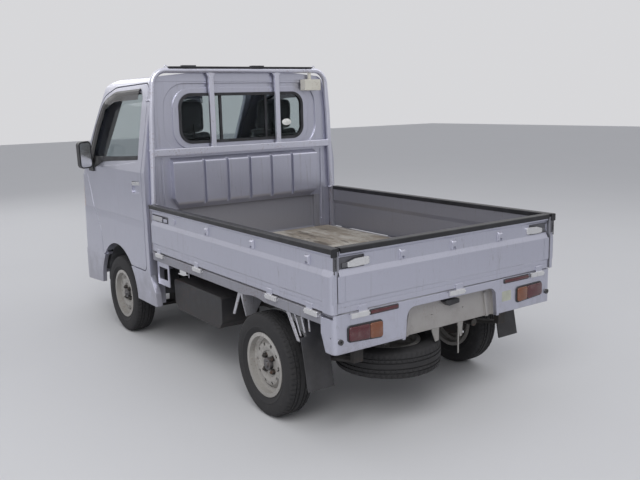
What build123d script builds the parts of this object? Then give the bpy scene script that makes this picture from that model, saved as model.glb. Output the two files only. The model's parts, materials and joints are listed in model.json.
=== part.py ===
from build123d import *
import os
from math import cos, pi, radians, sin

os.makedirs("parts", exist_ok=True)

# Kei truck with a drop-side bed. Millimetres.
# +Z is up from the ground, the front faces -Y, the vehicle's left side is +X.

# Overall
LENGTH = 3395.0
WIDTH = 1475.0
HALF_WIDTH = WIDTH / 2
FRONT_Y = -1697.5            # foremost point; a longer truck grows to the rear
REAR_Y = FRONT_Y + LENGTH
FRONT_OVERHANG = 852.5
REAR_OVERHANG = 642.5
FIT = 0.3                    # between neighbours that nearly touch
RUNNING = 0.10               # radial, shaft in bore
MOVE_GAP = 6.0               # between a moving piece and its neighbour

# Wheels
WHEELBASE = LENGTH - FRONT_OVERHANG - REAR_OVERHANG
FRONT_AXLE_Y = FRONT_Y + FRONT_OVERHANG
REAR_AXLE_Y = FRONT_AXLE_Y + WHEELBASE
TRACK_FRONT = 1305.0
TRACK_REAR = 1300.0
TYRE_R = 268.0
TYRE_WIDTH = 145.0
TREAD_WIDTH = 112.0
BEAD_R = 152.0
RIM_FLANGE_R = 167.0
RIM_WIDTH = 118.0
RIM_WALL = 5.0
RIM_WELL_R = 133.0
DISC_HOLES = 10
DISC_HOLE_R = 9.5
DISC_HOLE_PITCH_R = 101.0
BOLT_PITCH_R = 50.0
NUT_R = 11.0
HUB_R = 31.0
SPINDLE_R = 17.0
DRUM_R = 96.0
KINGPIN_X = 612.0

# Cab
CAB_WALL = 38.0
CAB_REAR_Y = -285.0
CAB_LOW_Z = 305.0
BELT_Z = 1060.0
ROOF_Z = 1778.0
NOSE_Y = FRONT_Y + 9.5
NOSE_LEAN = 0.07             # run per rise of the front below the windscreen
WINDSCREEN_Y = NOSE_Y + 76.0
WINDSCREEN_LEAN = 0.75       # run per rise of the windscreen
ROOF_SEAM_Z = ROOF_Z - 66.0
FRONT_PANEL_Z = 505.0        # lower edge of the front panel, above the bumper
SILL_TOP_Z = 512.0
ARCH_R = 340.0
ARCH_Y = FRONT_AXLE_Y - 5.0
ARCH_Z = 280.0
DOOR_GAP = 8.0
DOOR_T = 52.0
DOOR_SKIN = 16.0             # outer layer of a door, which overlaps its aperture
DOOR_STEP = 20.0             # how far the inner layer stands in from the outer
DOOR_HINGE_Y = -1358.0
GLASS_T = 5.0

# Bed
DECK_Z = 660.0
DECK_T = 18.0
RAIL_OUT_X = 720.0
RAIL_LOW_Z = 604.0
BED_INNER_X = 705.0
GATE_T = 24.0
GATE_OUT_X = 728.5           # lower, fuller part of a side gate
GATE_STEP = 10.0             # how far the upper band stands in from it
GATE_LOW_Z = 668.0
GATE_BEAD_Z = 692.0
GATE_FOLD_Z = 720.0
GATE_CREASE_Z = 833.0
GATE_LEDGE_H = 25.0           # height of the sloped ledge above the crease
GATE_LIP_H = 15.0            # depth of the flange along a gate's top edge
GATE_TOP_Z = 944.0
TRIM_T = 16.0
TRIM_DROP = 8.0              # how far a trim's lips hang down over the gate
SIDE_GATE_FRONT_Y = -240.0
TAIL_OUT_Y = REAR_Y - 11.0
HINGE_Z = 648.0
HINGE_BARREL_R = 6.0
HINGE_PIN_R = 3.0
HINGE_X = HALF_WIDTH - HINGE_BARREL_R
HINGE_Y = REAR_Y - HINGE_BARREL_R

WELL_Z = 402.0               # footwell floor
SEAT_Z = 662.0               # top of the seat base
FLOOR_T = 22.0
REAR_PANEL_LOW_Z = 560.0
GUARD_Y = -262.0
GUARD_R = 17.0
GUARD_TOP_Z = ROOF_Z + 4.0
POST_TOP_Z = GATE_TOP_Z + 6.0
VALANCE_Y = REAR_Y - 16.5
VALANCE_T = 12.0
VALANCE_FRONT_Y = VALANCE_Y - 101.0

# Frame below
RAIL_X = 385.0
RAIL_W = 50.0
RAIL_H = 85.0
FRAME_FRONT_Z = WELL_Z - FLOOR_T - RAIL_H
FRAME_MID_Z = 420.0
SILL_H = 49.0                # depth of the bed's cross sills


def block(x0, x1, y0, y1, z0, z1):
    """Box between two corners."""
    return Pos((x0 + x1) / 2, (y0 + y1) / 2, (z0 + z1) / 2) * Box(x1 - x0, y1 - y0, z1 - z0)


def along_x(corners, x0, x1, radius=0.0):
    """Outline of (y, z) corners carried from x0 to x1."""
    line = FilletPolyline(*[(x0, y, z) for y, z in corners], radius=radius, close=True)
    return Solid.extrude(make_face(line.edges()).face(), Vector(x1 - x0, 0, 0))


def along_y(corners, y0, y1, radius=0.0):
    """Outline of (x, z) corners carried from y0 to y1."""
    line = FilletPolyline(*[(x, y0, z) for x, z in corners], radius=radius, close=True)
    return Solid.extrude(make_face(line.edges()).face(), Vector(0, y1 - y0, 0))


def along_z(corners, z0, z1, radius=0.0):
    """Outline of (x, y) corners carried from z0 to z1."""
    line = FilletPolyline(*[(x, y, z0) for x, y in corners], radius=radius, close=True)
    return Solid.extrude(make_face(line.edges()).face(), Vector(0, 0, z1 - z0))


def rod_x(r, x0, x1, y, z):
    """Round bar along X."""
    return Pos((x0 + x1) / 2, y, z) * Rot(0, 90, 0) * Cylinder(r, x1 - x0)


def rod_y(r, y0, y1, x, z):
    """Round bar along Y."""
    return Pos(x, (y0 + y1) / 2, z) * Rot(90, 0, 0) * Cylinder(r, y1 - y0)


def rod_z(r, z0, z1, x, y):
    """Round bar along Z."""
    return Pos(x, y, (z0 + z1) / 2) * Cylinder(r, z1 - z0)


def tube_path(points, bend_r, r):
    """Round bar along straight runs joined by arcs of one bend radius."""
    path = FilletPolyline(*points, radius=bend_r)
    start = Plane(origin=path @ 0, z_dir=path % 0)
    return sweep(start * Circle(r), path=path)


def mirrored(shape):
    """The same piece on the other side of the vehicle."""
    return mirror(shape, about=Plane.YZ)


def both(shape):
    """A piece and its mirror image, as separate solids."""
    return Compound(solids_of(shape) + solids_of(mirrored(shape)))


def solids_of(*shapes):
    """All solids of the shapes, in one list."""
    return [solid for shape in shapes for solid in shape.solids()]


def group(*shapes):
    """Several solids that don't touch, in one compound."""
    return Compound(solids_of(*shapes))


NODES = {}


def add(name, shape):
    """Keep a piece under its node name."""
    NODES[name] = shape


# Cab outline

# half width, set back from the nose plane: the front seen from above, below the windscreen
NOSE_PLAN = ((HALF_WIDTH, 165.0), (600.0, 40.0), (250.0, 0.0))
# the same at the foot of the windscreen
SCREEN_PLAN = ((HALF_WIDTH, 125.0), (620.0, 25.0), (260.0, 0.0))
# half width, height: the cab seen from behind
SIDE_LINE = ((HALF_WIDTH + 8.0, BELT_Z + 40), (676.0, ROOF_Z - 218), (640.0, ROOF_Z - 36), (330.0, ROOF_Z - 4))
# y, height: the roof seen from the side
ROOF_LINE = ((-1180.0, ROOF_Z - 138), (-1035.0, ROOF_Z - 56), (-700.0, ROOF_Z - 8), (CAB_REAR_Y, ROOF_Z))


def front_plan(table, front_y, inset, z, depth):
    """Face of the cab seen from above, from its bowed front to far behind it."""
    right = [(-x, front_y + back) for x, back in table]
    left = [(x, front_y + back) for x, back in reversed(table)]
    corners = [(-HALF_WIDTH, front_y + depth)] + right + left + [(HALF_WIDTH, front_y + depth)]
    radii = [0, 105, 240, 900, 900, 240, 105, 0]
    line = FilletPolyline(*[(x, y, 0) for x, y in corners], radius=radii, close=True)
    face = make_face(line.edges())
    if inset:
        face = offset(face, amount=-inset)
    return Pos(0, 0, z) * face.face()


def cab_form(inset):
    """Outer form of the cab, or the space inside it when it stands in by a wall."""
    low = CAB_LOW_Z - 60.0
    rise = BELT_Z - low
    lower = Solid.extrude(front_plan(NOSE_PLAN, NOSE_Y - NOSE_LEAN * 200, inset, low, 1700),
                          Vector(0, NOSE_LEAN * rise, rise))
    rise = ROOF_Z - BELT_Z + 60
    upper = Solid.extrude(front_plan(SCREEN_PLAN, WINDSCREEN_Y, inset * 1.2, BELT_Z - 1, 1700),
                          Vector(0, WINDSCREEN_LEAN * rise, rise))
    right = [(-x + inset, z - inset * 0.3) for x, z in SIDE_LINE[:2]]
    right += [(-x + inset, z - (inset or 0.0)) for x, z in SIDE_LINE[2:]]
    left = [(-x, z) for x, z in reversed(right)]
    foot_x = HALF_WIDTH + 40 - inset
    section = [(-foot_x, CAB_LOW_Z - 5)] + right + left + [(foot_x, CAB_LOW_Z - 5)]
    radii = [0, 420, 420, 60, 1200, 1200, 60, 420, 420, 0]
    across = along_y(section, -1810, CAB_REAR_Y + 10, radii)
    rear_y = CAB_REAR_Y - inset
    brow_y, brow_z = ROOF_LINE[0]
    roof = [(brow_y - 330, brow_z - 190 - inset), (brow_y + inset * 0.5, brow_z - inset)]
    roof += [(y, z - inset) for y, z in ROOF_LINE[1:3]]
    profile = [(-1800, CAB_LOW_Z), (-1800, 1000)] + roof + [(rear_y, ROOF_Z - inset), (rear_y, CAB_LOW_Z)]
    radii = [0, 0, 0, 160, 500, 1500, 0, 0]
    along = along_x(profile, -HALF_WIDTH - 5, HALF_WIDTH + 5, radii)
    return (lower + upper) & across & along


# y, height: outline of a door's window opening
WINDOW = ((-1300.0, 1140.0), (-1238.0, 1305.0), (-1172.0, 1440.0), (-1060.0, 1590.0), (-880.0, 1642.0),
          (-398.0, 1654.0), (-398.0, 1222.0), (-690.0, 1186.0))
WINDOW_RADII = (30.0, 300.0, 300.0, 120.0, 400.0, 45.0, 35.0, 600.0)
# y, height: shut line of a door, with its lower front corner cut by the wheel arch
DOOR = ((-1356.0, 1110.0), (-1284.0, 1320.0), (-1206.0, 1472.0), (-1085.0, 1632.0), (-880.0, 1688.0),
        (-320.0, 1704.0), (-320.0, 1450.0), (-338.0, 1120.0), (-338.0, SILL_TOP_Z + DOOR_GAP),
        (-1125.0, SILL_TOP_Z + DOOR_GAP), (-1140.0, 690.0), (-1262.0, 860.0))
DOOR_RADII = (25.0, 300.0, 300.0, 130.0, 400.0, 45.0, 300.0, 300.0, 40.0, 0.0, 110.0, 160.0)
FAR = 900.0


def grown(corners, radii, amount, x0, x1):
    """Outline of (y, z) corners, grown all round by an amount, carried from x0 to x1."""
    line = FilletPolyline(*[(x0, y, z) for y, z in corners], radius=list(radii), close=True)
    face = make_face(line.edges())
    if amount:
        face = offset(face, amount=amount)
    return Solid.extrude(face.face(), Vector(x1 - x0, 0, 0))


def arch_round(r, x0, x1):
    """Round of a front wheel arch."""
    return rod_x(r, x0, x1, ARCH_Y, ARCH_Z)


CAB_OUTER = cab_form(0)
CAB_INNER = cab_form(CAB_WALL)
DOOR_INNER = cab_form(DOOR_T)
SKIN_INNER = cab_form(DOOR_SKIN)


CREASE_Z = 842.0
CREASE_DEPTH = 3.0


def body_crease():
    """Wedge cut out of both flanks under the body's crease."""
    x = HALF_WIDTH
    wedge = along_y([(x - CREASE_DEPTH, CREASE_Z), (x + 2, CREASE_Z), (x + 2, CREASE_Z - 50), (x, CREASE_Z - 50)],
                    -1500, CAB_REAR_Y - 36)
    return group(wedge, mirrored(wedge))


def make_cab():
    """Cab shell, split where the panels meet."""
    shell = CAB_OUTER - CAB_INNER
    thick_side = (CAB_OUTER - DOOR_INNER) & (block(560, FAR, -1500, CAB_REAR_Y, SILL_TOP_Z, ROOF_SEAM_Z)
                                            + block(-FAR, -560, -1500, CAB_REAR_Y, SILL_TOP_Z, ROOF_SEAM_Z))
    shell = shell + thick_side
    for side in (-1, 1):
        x0, x1 = (560, FAR) if side > 0 else (-FAR, -560)
        outer_cut = grown(DOOR, DOOR_RADII, DOOR_GAP, x0, x1) - SKIN_INNER
        inner_cut = grown(DOOR, DOOR_RADII, DOOR_GAP - DOOR_STEP, x0, x1)
        shell = shell - outer_cut - inner_cut
        shell = shell - arch_round(ARCH_R, min(side * 440, side * FAR), max(side * 440, side * FAR))
    screen = screen_cut(0)
    shell = shell - screen
    shell = shell - rear_window_cut(0)
    for wedge in body_crease().solids():
        shell = shell - wedge
    roof = shell & block(-FAR, FAR, -1800, 0, ROOF_SEAM_Z, 1900)
    body = shell & block(-FAR, FAR, -1800, 0, CAB_LOW_Z, ROOF_SEAM_Z)
    front_box = block(-FAR, FAR, -1800, -1400, FRONT_PANEL_Z, BELT_Z + 22)
    front = body & front_box
    low_nose = block(-FAR, FAR, -1800, -1400, 0, FRONT_PANEL_Z)
    rear_box = block(-640, 640, CAB_REAR_Y - CAB_WALL, 0, CAB_LOW_Z, ROOF_SEAM_Z)
    rear = body & block(-640, 640, CAB_REAR_Y - CAB_WALL, 0, REAR_PANEL_LOW_Z, ROOF_SEAM_Z)
    bumper_room = block(-FAR, FAR, -1800, ARCH_Y, 0, FRONT_PANEL_Z)
    tail = along_x([(CAB_REAR_Y - 1, CAB_LOW_Z), (-198, CAB_LOW_Z), (-212, 392), (CAB_REAR_Y - 1, 500)],
                   HALF_WIDTH - CAB_WALL, HALF_WIDTH, [0, 12, 12, 0])
    sides = body - front_box - low_nose - rear_box - bumper_room + tail + mirrored(tail)
    return roof, front, rear, sides


def screen_cut(inset):
    """Windscreen opening, a rounded outline carried back from the front."""
    corners = [(-560 + inset, 1118 + inset), (560 - inset, 1118 + inset),
               (505 - inset, ROOF_Z - 128 - inset), (-505 + inset, ROOF_Z - 128 - inset)]
    return along_y(corners, -1780, -1060, [70, 70, 60, 60])


def rear_window_cut(inset):
    """Rear window opening."""
    corners = [(-476 + inset, 1320 + inset), (476 - inset, 1320 + inset),
               (476 - inset, 1640 - inset), (-476 + inset, 1640 - inset)]
    return along_y(corners, CAB_REAR_Y - CAB_WALL - 20, CAB_REAR_Y + 40, 88 - inset)


BULGE_HALF = 555.0
BULGE_OUT = 52.0
BULGE_PITCH = 170.0
GROOVE_W = 26.0
GROOVE_DEPTH = 20.0


def make_rear_panel(rear):
    """Rear wall: pressed frame round the window, bulge of raised panels parted by grooves, recess below it."""
    face_y = CAB_REAR_Y + BULGE_OUT
    outer = along_x([(CAB_REAR_Y - 5, 900), (CAB_REAR_Y, 905), (face_y, 945), (face_y, 1212), (CAB_REAR_Y, 1236),
                     (CAB_REAR_Y - 5, 1236)], -BULGE_HALF, BULGE_HALF, [0, 0, 26, 12, 0, 0])
    corner = along_y([(BULGE_HALF - 60, 880), (BULGE_HALF + 20, 880), (BULGE_HALF + 20, 1010)],
                     CAB_REAR_Y, face_y + 20)
    outer = outer - corner - mirrored(corner)
    wall = 14.0
    inner = along_x([(CAB_REAR_Y - CAB_WALL - 5, 935), (CAB_REAR_Y - 12, 938), (face_y - GROOVE_DEPTH - wall, 975),
                     (face_y - GROOVE_DEPTH - wall, 1203), (CAB_REAR_Y - 12, 1222),
                     (CAB_REAR_Y - CAB_WALL - 5, 1222)], -BULGE_HALF + 76, BULGE_HALF - 76)
    panel = rear + outer - inner
    for step in range(-2, 3):
        x = step * BULGE_PITCH
        panel = panel - along_z([(x - GROOVE_W / 2, face_y + 5), (x - GROOVE_W / 4, face_y - GROOVE_DEPTH),
                                 (x + GROOVE_W / 4, face_y - GROOVE_DEPTH), (x + GROOVE_W / 2, face_y + 5)],
                                890, 1240)
    low = block(-BULGE_HALF, BULGE_HALF, CAB_REAR_Y - 26, 0, DECK_Z + 12, 903)
    panel = panel - low
    for side in (-1, 1):
        x0, x1 = sorted((side * 606, side * 618))
        panel = panel - block(x0, x1, CAB_REAR_Y - 6, 0, 730, 1236)
    pressing = along_y([(-585, 1266), (585, 1266), (575, 1702), (-575, 1702)], CAB_REAR_Y - 9, 0, 150)
    ring = along_y([(-520, 1286), (520, 1286), (514, 1674), (-514, 1674)], CAB_REAR_Y - 9, CAB_REAR_Y, 125)
    return panel - (pressing - ring)


def make_floor():
    """Floor pressing: footwell, riser and seat base, with the front wheel houses cut in."""
    t = FLOOR_T
    well_z = WELL_Z
    seat_z = SEAT_Z
    riser_y = ARCH_Y - ARCH_R - 34
    line = [(-1640, well_z), (riser_y, well_z), (riser_y + 40, seat_z), (CAB_REAR_Y - CAB_WALL, seat_z)]
    back = [(CAB_REAR_Y - CAB_WALL, seat_z - t), (riser_y + 40 + t, seat_z - t), (riser_y + t, well_z - t),
            (-1640, well_z - t)]
    x_in = HALF_WIDTH - DOOR_T
    floor = along_x(line + back, -x_in, x_in)
    house = arch_round(ARCH_R + 8, 432, x_in) & block(0, FAR, -1300, 0, CAB_LOW_Z, seat_z - t)
    hollow = arch_round(ARCH_R, 440, FAR)
    liner = house - hollow
    floor = floor + liner + mirrored(liner)
    closing = block(430, 445, ARCH_Y - ARCH_R, ARCH_Y + ARCH_R, 430, seat_z - t)
    floor = floor + closing + mirrored(closing)
    return (floor - hollow - mirrored(hollow)) & DOOR_INNER


BUMPER_LOW_Z = 262.0
BUMPER_T = 30.0
INTAKE_HALF = 290.0


def make_bumper():
    """Front bumper, which wraps round the corners and sweeps up to the wheel arches."""
    height = FRONT_PANEL_Z - BUMPER_LOW_Z
    y = FRONT_Y
    outer = Solid.extrude(front_plan(NOSE_PLAN, y, 0, BUMPER_LOW_Z, 1700), Vector(0, 0, height))
    inner = Solid.extrude(front_plan(NOSE_PLAN, y, BUMPER_T, BUMPER_LOW_Z - 5, 1700), Vector(0, 0, height + 10))
    band = (outer - inner) & block(-FAR, FAR, -1750, ARCH_Y, BUMPER_LOW_Z, FRONT_PANEL_Z)
    band = band - arch_round(ARCH_R, -FAR, FAR)
    sweep_cut = along_x([(-1640, 200), (-1640, BUMPER_LOW_Z), (-1180, 296), (-1100, 296), (-1100, 200)], -FAR, FAR)
    band = band - sweep_cut - intake(0, -1800, -1500)
    dish = Solid.extrude(front_plan(NOSE_PLAN, y, BUMPER_T * 0.6, BUMPER_LOW_Z - 5, 1700), Vector(0, 0, height + 10))
    pocket = along_y([(430, 330), (590, 330), (570, 402), (430, 402)], -1800, -1560, 26) - dish
    return band - pocket - mirrored(pocket)


def intake(grow, y0, y1):
    """Rounded outline of the bumper's air intake."""
    return along_y([(-INTAKE_HALF - grow, 316 - grow), (INTAKE_HALF + grow, 316 - grow),
                    (INTAKE_HALF + 20 + grow, 400 + grow), (-INTAKE_HALF - 20 - grow, 400 + grow)], y0, y1, 24)


def make_intake_grille(bumper):
    """Black bars behind the bumper's air intake."""
    back_y = FRONT_Y + BUMPER_T
    bars = intake(12, back_y - 4, back_y + 10) - intake(-8, back_y - 10, back_y + 20)
    for z in (337.0, 358.0, 379.0):
        bars = bars + block(-INTAKE_HALF - 15, INTAKE_HALF + 15, back_y + 1, back_y + 9, z - 4, z + 4)
    for x in (-150.0, 0.0, 150.0):
        bars = bars + block(x - 5, x + 5, back_y + 1, back_y + 9, 312, 404)
    return bars - bumper


GRILLE_HALF = 330.0
GRILLE_LOW_Z = 816.0


def make_grille():
    """Black insert between the headlamps, with its slats."""
    back_y = NOSE_Y + 70
    low, high = GRILLE_LOW_Z, GRILLE_LOW_Z + 84
    room = along_y([(-GRILLE_HALF, low), (GRILLE_HALF, low), (GRILLE_HALF + 30, high), (-GRILLE_HALF - 30, high)],
                   NOSE_Y - 30, back_y, [14, 14, 20, 20])
    insert = CAB_OUTER & room
    pocket = along_y([(-GRILLE_HALF + 8, low + 10), (GRILLE_HALF - 8, low + 10), (GRILLE_HALF + 16, high - 10),
                      (-GRILLE_HALF - 16, high - 10)], NOSE_Y - 40, back_y - 12, [8, 8, 12, 12])
    for k in range(3):
        z = low + 26 + 16 * k
        pocket = pocket - block(-FAR, FAR, NOSE_Y + 32, back_y, z - 4, z + 4)
    return insert - pocket, CAB_OUTER & room


# x, height: outline of a headlamp seen from the front
LAMP = ((418.0, 800.0), (650.0, 800.0), (760.0, 850.0), (760.0, 1010.0), (600.0, 1000.0), (430.0, 935.0))


def make_headlamps():
    """Left headlamp at the corner, flush with the front panel, with its round bowl."""
    cutter = along_y(LAMP, -1800, -1450, [36, 60, 0, 0, 90, 50])
    lamp = (CAB_OUTER - cab_form(CAB_WALL - 2)) & cutter
    bowl = rod_y(56, -1800, -1604, 525, 884) - rod_y(13, -1620, -1600, 525, 884)
    return lamp - bowl, cutter


def make_glass():
    """Windscreen and the three panes of the rear window."""
    layer = cab_form(9) - cab_form(9 + GLASS_T)
    screen = layer & screen_cut(FIT) & block(-FAR, FAR, -1780, -1000, BELT_Z + 24, ROOF_SEAM_Z - 1)
    y0 = CAB_REAR_Y - 16
    pane = along_y([(-458, 1338), (458, 1338), (458, 1622), (-458, 1622)], y0, y0 + GLASS_T, 70)
    gap = block(-181, -165, y0 - 5, y0 + 20, 1300, 1700)
    panes = pane - gap - mirrored(gap)
    seal = rear_window_cut(0) & block(-FAR, FAR, CAB_REAR_Y - 24, CAB_REAR_Y + 4, 1200, 1700)
    opening = along_y([(-458, 1338), (458, 1338), (458, 1622), (-458, 1622)], y0 - 40, y0 + 60, 70)
    bar = block(-181, -165, CAB_REAR_Y - 20, CAB_REAR_Y - 2, 1338, 1622)
    seal = seal - opening + bar + mirrored(bar)
    return screen, panes, seal


# x of each wiper's pivot
WIPERS = (-410.0, 70.0)
WIPER_LEN = 430.0


def make_wipers():
    """Wipers, parked along the foot of the windscreen."""
    made = []
    for x in WIPERS:
        z = 1102.0
        y = WINDSCREEN_Y + WINDSCREEN_LEAN * (z - BELT_Z + 1)
        place = Plane(origin=(x, y, z), x_dir=(1, 0, 0), z_dir=(0, -1, WINDSCREEN_LEAN))
        pivot = Pos(0, 0, 2) * Cylinder(12, 36)
        arm = Rot(0, 0, 13) * Pos(135, 0, 15) * Box(290, 13, 6)
        blade = Pos(170, 64, 9) * Box(WIPER_LEN, 9, 10)
        made.append(place * (pivot + arm + blade))
    return made


def make_door():
    """Left door, a full-width outer skin on a narrower inner layer, with its window cut."""
    side = block(560, FAR, -1500, 0, 400, ROOF_SEAM_Z)
    skin = (CAB_OUTER - SKIN_INNER) & grown(DOOR, DOOR_RADII, 0, 560, FAR) & side
    inner = (SKIN_INNER - DOOR_INNER) & grown(DOOR, DOOR_RADII, -DOOR_STEP - DOOR_GAP, 560, FAR) & side
    door = skin + inner
    door = door - arch_round(ARCH_R + DOOR_GAP, 400, FAR)
    door = door - grown(WINDOW, WINDOW_RADII, 0, 500, FAR)
    recess = along_x([(-500, 1012), (-366, 1024), (-366, 1096), (-500, 1090)], HALF_WIDTH - 12, FAR, 18)
    handle = along_x([(-512, 1062), (-352, 1072), (-352, 1092), (-512, 1084)], HALF_WIDTH - 14, HALF_WIDTH - 1, 7)
    return door - recess + handle - body_crease().solids()[0] - body_crease().solids()[1]


def make_door_glass():
    """Left door's glass, in the middle of the door's thickness."""
    layer = cab_form(20) - cab_form(20 + GLASS_T)
    pane = layer & grown(WINDOW, WINDOW_RADII, -FIT, 500, FAR) & block(500, FAR, -1500, 0, 1000, 1700)
    return pane


def make_mirror():
    """Left door mirror: shell, arm and the foot on the door's front corner."""
    shell = along_y([(768, 1146), (860, 1138), (864, 1326), (776, 1334)], -1175, -1118, 26)
    glass_room = along_y([(777, 1154), (852, 1147), (856, 1318), (784, 1325)], -1122, -1100, 20)
    shell = shell - glass_room
    foot = along_x([(-1290, 1112), (-1180, 1112), (-1262, 1215)], HALF_WIDTH - 14, HALF_WIDTH + 10, 10)
    arm = tube_path([(735, -1235, 1150), (800, -1200, 1165), (815, -1150, 1200)], 20, 9)
    return shell + arm + foot


def make_gate_section(outer, inner):
    """Section of a gate as (out, z) corners: lower fold, full middle, ledge, upper band and top flange."""
    band = outer - GATE_STEP
    ledge_z = GATE_CREASE_Z + GATE_LEDGE_H
    return [(outer - 5, GATE_LOW_Z), (outer - 5, GATE_FOLD_Z - 8), (outer, GATE_FOLD_Z), (outer, GATE_CREASE_Z),
            (band, ledge_z), (band, GATE_TOP_Z - GATE_LIP_H - GATE_STEP), (outer - 1, GATE_TOP_Z - GATE_LIP_H),
            (outer - 1, GATE_TOP_Z), (inner - GATE_STEP, GATE_TOP_Z), (inner - GATE_STEP, ledge_z),
            (inner, GATE_CREASE_Z), (inner, GATE_LOW_Z)]


# y of each side gate hinge, at its middle
SIDE_HINGES = (SIDE_GATE_FRONT_Y + 110, SIDE_GATE_FRONT_Y + 630, REAR_Y - 512.5, REAR_Y - 172)
# y of each rope hook on a side gate
ROPE_HOOKS = (SIDE_GATE_FRONT_Y + 752, SIDE_GATE_FRONT_Y + 1243, REAR_Y - 206.5)
# x of each rope hook on the tail gate
TAIL_HOOKS = (328.0, 3.0, -322.0)
HOOK_LOW_Z = 862.0
HOOK_HIGH_Z = 910.0
# x of each tail gate hinge, at its middle
TAIL_HINGES = (-600.0, -10.0, 587.0)
LEAF_LEN = 49.0              # each half of a hinge
LEAF_LOW = 10.0              # a leaf's edge below the pin
LEAF_HIGH = 14.0
LUG_GAP = 0.5
END_CAP = 6.0


def hinge_eye_y(y, x, z):
    """Gate half of a hinge along Y: a flat leaf bored for the pin, with its strap up to the gate."""
    y1 = y - LUG_GAP / 2
    y0 = y1 - LEAF_LEN
    leaf = block(x - HINGE_BARREL_R, x + HINGE_BARREL_R, y0, y1, z - LEAF_LOW, z + LEAF_HIGH)
    strap = block(x - 11, x - 4.5, y0, y1, z + 4, GATE_LOW_Z + 20)
    return leaf + strap - rod_y(HINGE_PIN_R + RUNNING, y0 - 5, y1 + 5, x, z)


def hinge_fixed_y(y, x, z):
    """Bed half of a hinge along Y: a leaf seated on the side rail, its pin and the pin's end cap."""
    y0 = y + LUG_GAP / 2
    end = y - LUG_GAP * 1.5 - LEAF_LEN
    pin = rod_y(HINGE_PIN_R, end - END_CAP, y0 + 5, x, z)
    cap = rod_y(HINGE_BARREL_R, end - END_CAP, end, x, z)
    leaf = block(x - HINGE_BARREL_R, x + HINGE_BARREL_R, y0, y0 + LEAF_LEN, z - LEAF_LOW, z + LEAF_HIGH)
    foot = block(RAIL_OUT_X - 4, x, y0, y0 + LEAF_LEN, z - LEAF_LOW, z + 4)
    return pin + cap + leaf + foot


def make_side_gate():
    """Left side gate with its rounded rear column, rope hooks, latch, keeper and hinge eyes."""
    band = GATE_OUT_X - GATE_STEP
    inner = GATE_OUT_X - GATE_T + 1
    full = GATE_OUT_X + 5
    rear_y = REAR_Y - 9
    gate = along_y(make_gate_section(GATE_OUT_X, GATE_OUT_X - GATE_T), SIDE_GATE_FRONT_Y, rear_y)
    column = along_z([(inner, rear_y - 76), (full, rear_y - 84), (full, rear_y), (inner, rear_y)],
                     GATE_LOW_Z, GATE_TOP_Z, [0, 10, 20, 0])
    shoulder = along_y([(inner, GATE_LOW_Z), (full, GATE_LOW_Z), (full, GATE_CREASE_Z), (band, GATE_CREASE_Z + 28),
                        (inner, GATE_CREASE_Z + 28)], rear_y - 90, rear_y, [0, 0, 12, 0, 0])
    gate = gate + (column & shoulder)
    gate = gate - block(GATE_OUT_X - 6.5, FAR, SIDE_GATE_FRONT_Y - 5, rear_y - 84, GATE_BEAD_Z, GATE_BEAD_Z + 2.5)
    y0 = SIDE_GATE_FRONT_Y
    pocket = along_x([(y0 + 10, 862), (y0 + 245, 862), (y0 + 245, 904), (y0 + 10, 904)], band - 8, FAR, 9)
    lever = along_x([(y0 + 30, 868), (y0 + 165, 868), (y0 + 165, 897), (y0 + 30, 897)], band - 9, band + 7, 8)
    pivot = block(band - 9, band + 2, y0 + 175, y0 + 228, 869, 889)
    gate = gate - pocket + lever + pivot
    plate = along_x([(y0 + 302, 874), (y0 + 342, 874), (y0 + 342, 904), (y0 + 302, 904)], band - 1, band + 6, 6)
    gate = gate + plate
    for y in ROPE_HOOKS:
        gate = gate + Pos(band, y, 0) * Rot(0, 0, 90) * rope_hook()
    keeper = along_y([(inner + 1, 862), (full - 8, 862), (full - 8, 921.5), (inner + 1, 921.5)],
                     rear_y - 1, rear_y + 4.5)
    slot = along_y([(inner + 8, 872), (inner + 14, 872), (inner + 14, 912), (inner + 8, 912)],
                   rear_y + 0.5, rear_y + 10, 2)
    gate = gate + keeper - slot + rod_z(3, 848, 902, full - 12, rear_y + 4)
    for y in SIDE_HINGES:
        gate = gate + hinge_eye_y(y, HINGE_X, HINGE_Z)
    return gate


def rope_hook():
    """Pressed rope hook that stands out along -Y from a gate's upper band, open below."""
    hood = along_z([(-17, 1), (-12, -12), (12, -12), (17, 1)], HOOK_LOW_Z, HOOK_HIGH_Z, [0, 3, 3, 0])
    slope = along_x([(5, HOOK_LOW_Z - 5), (-10, HOOK_LOW_Z - 5), (-12, HOOK_HIGH_Z - 12), (0, HOOK_HIGH_Z),
                     (5, HOOK_HIGH_Z)], -20, 20)
    throat = block(-8, 8, -9, 1.5, HOOK_LOW_Z - 5, HOOK_HIGH_Z - 14)
    mouth = block(-8, 8, -20, 1.5, HOOK_LOW_Z - 5, HOOK_LOW_Z + 14)
    return (hood & slope) - throat - mouth


def hinge_eye_x(x, y, z):
    """Gate half of a hinge along X, with its strap up to the gate."""
    x1 = x - LUG_GAP / 2
    x0 = x1 - LEAF_LEN
    leaf = block(x0, x1, y - HINGE_BARREL_R, y + HINGE_BARREL_R, z - LEAF_LOW, z + LEAF_HIGH)
    strap = block(x0, x1, y - 12, y - 4.5, z + 4, GATE_LOW_Z + 20)
    return leaf + strap - rod_x(HINGE_PIN_R + RUNNING, x0 - 5, x1 + 5, y, z)


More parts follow.
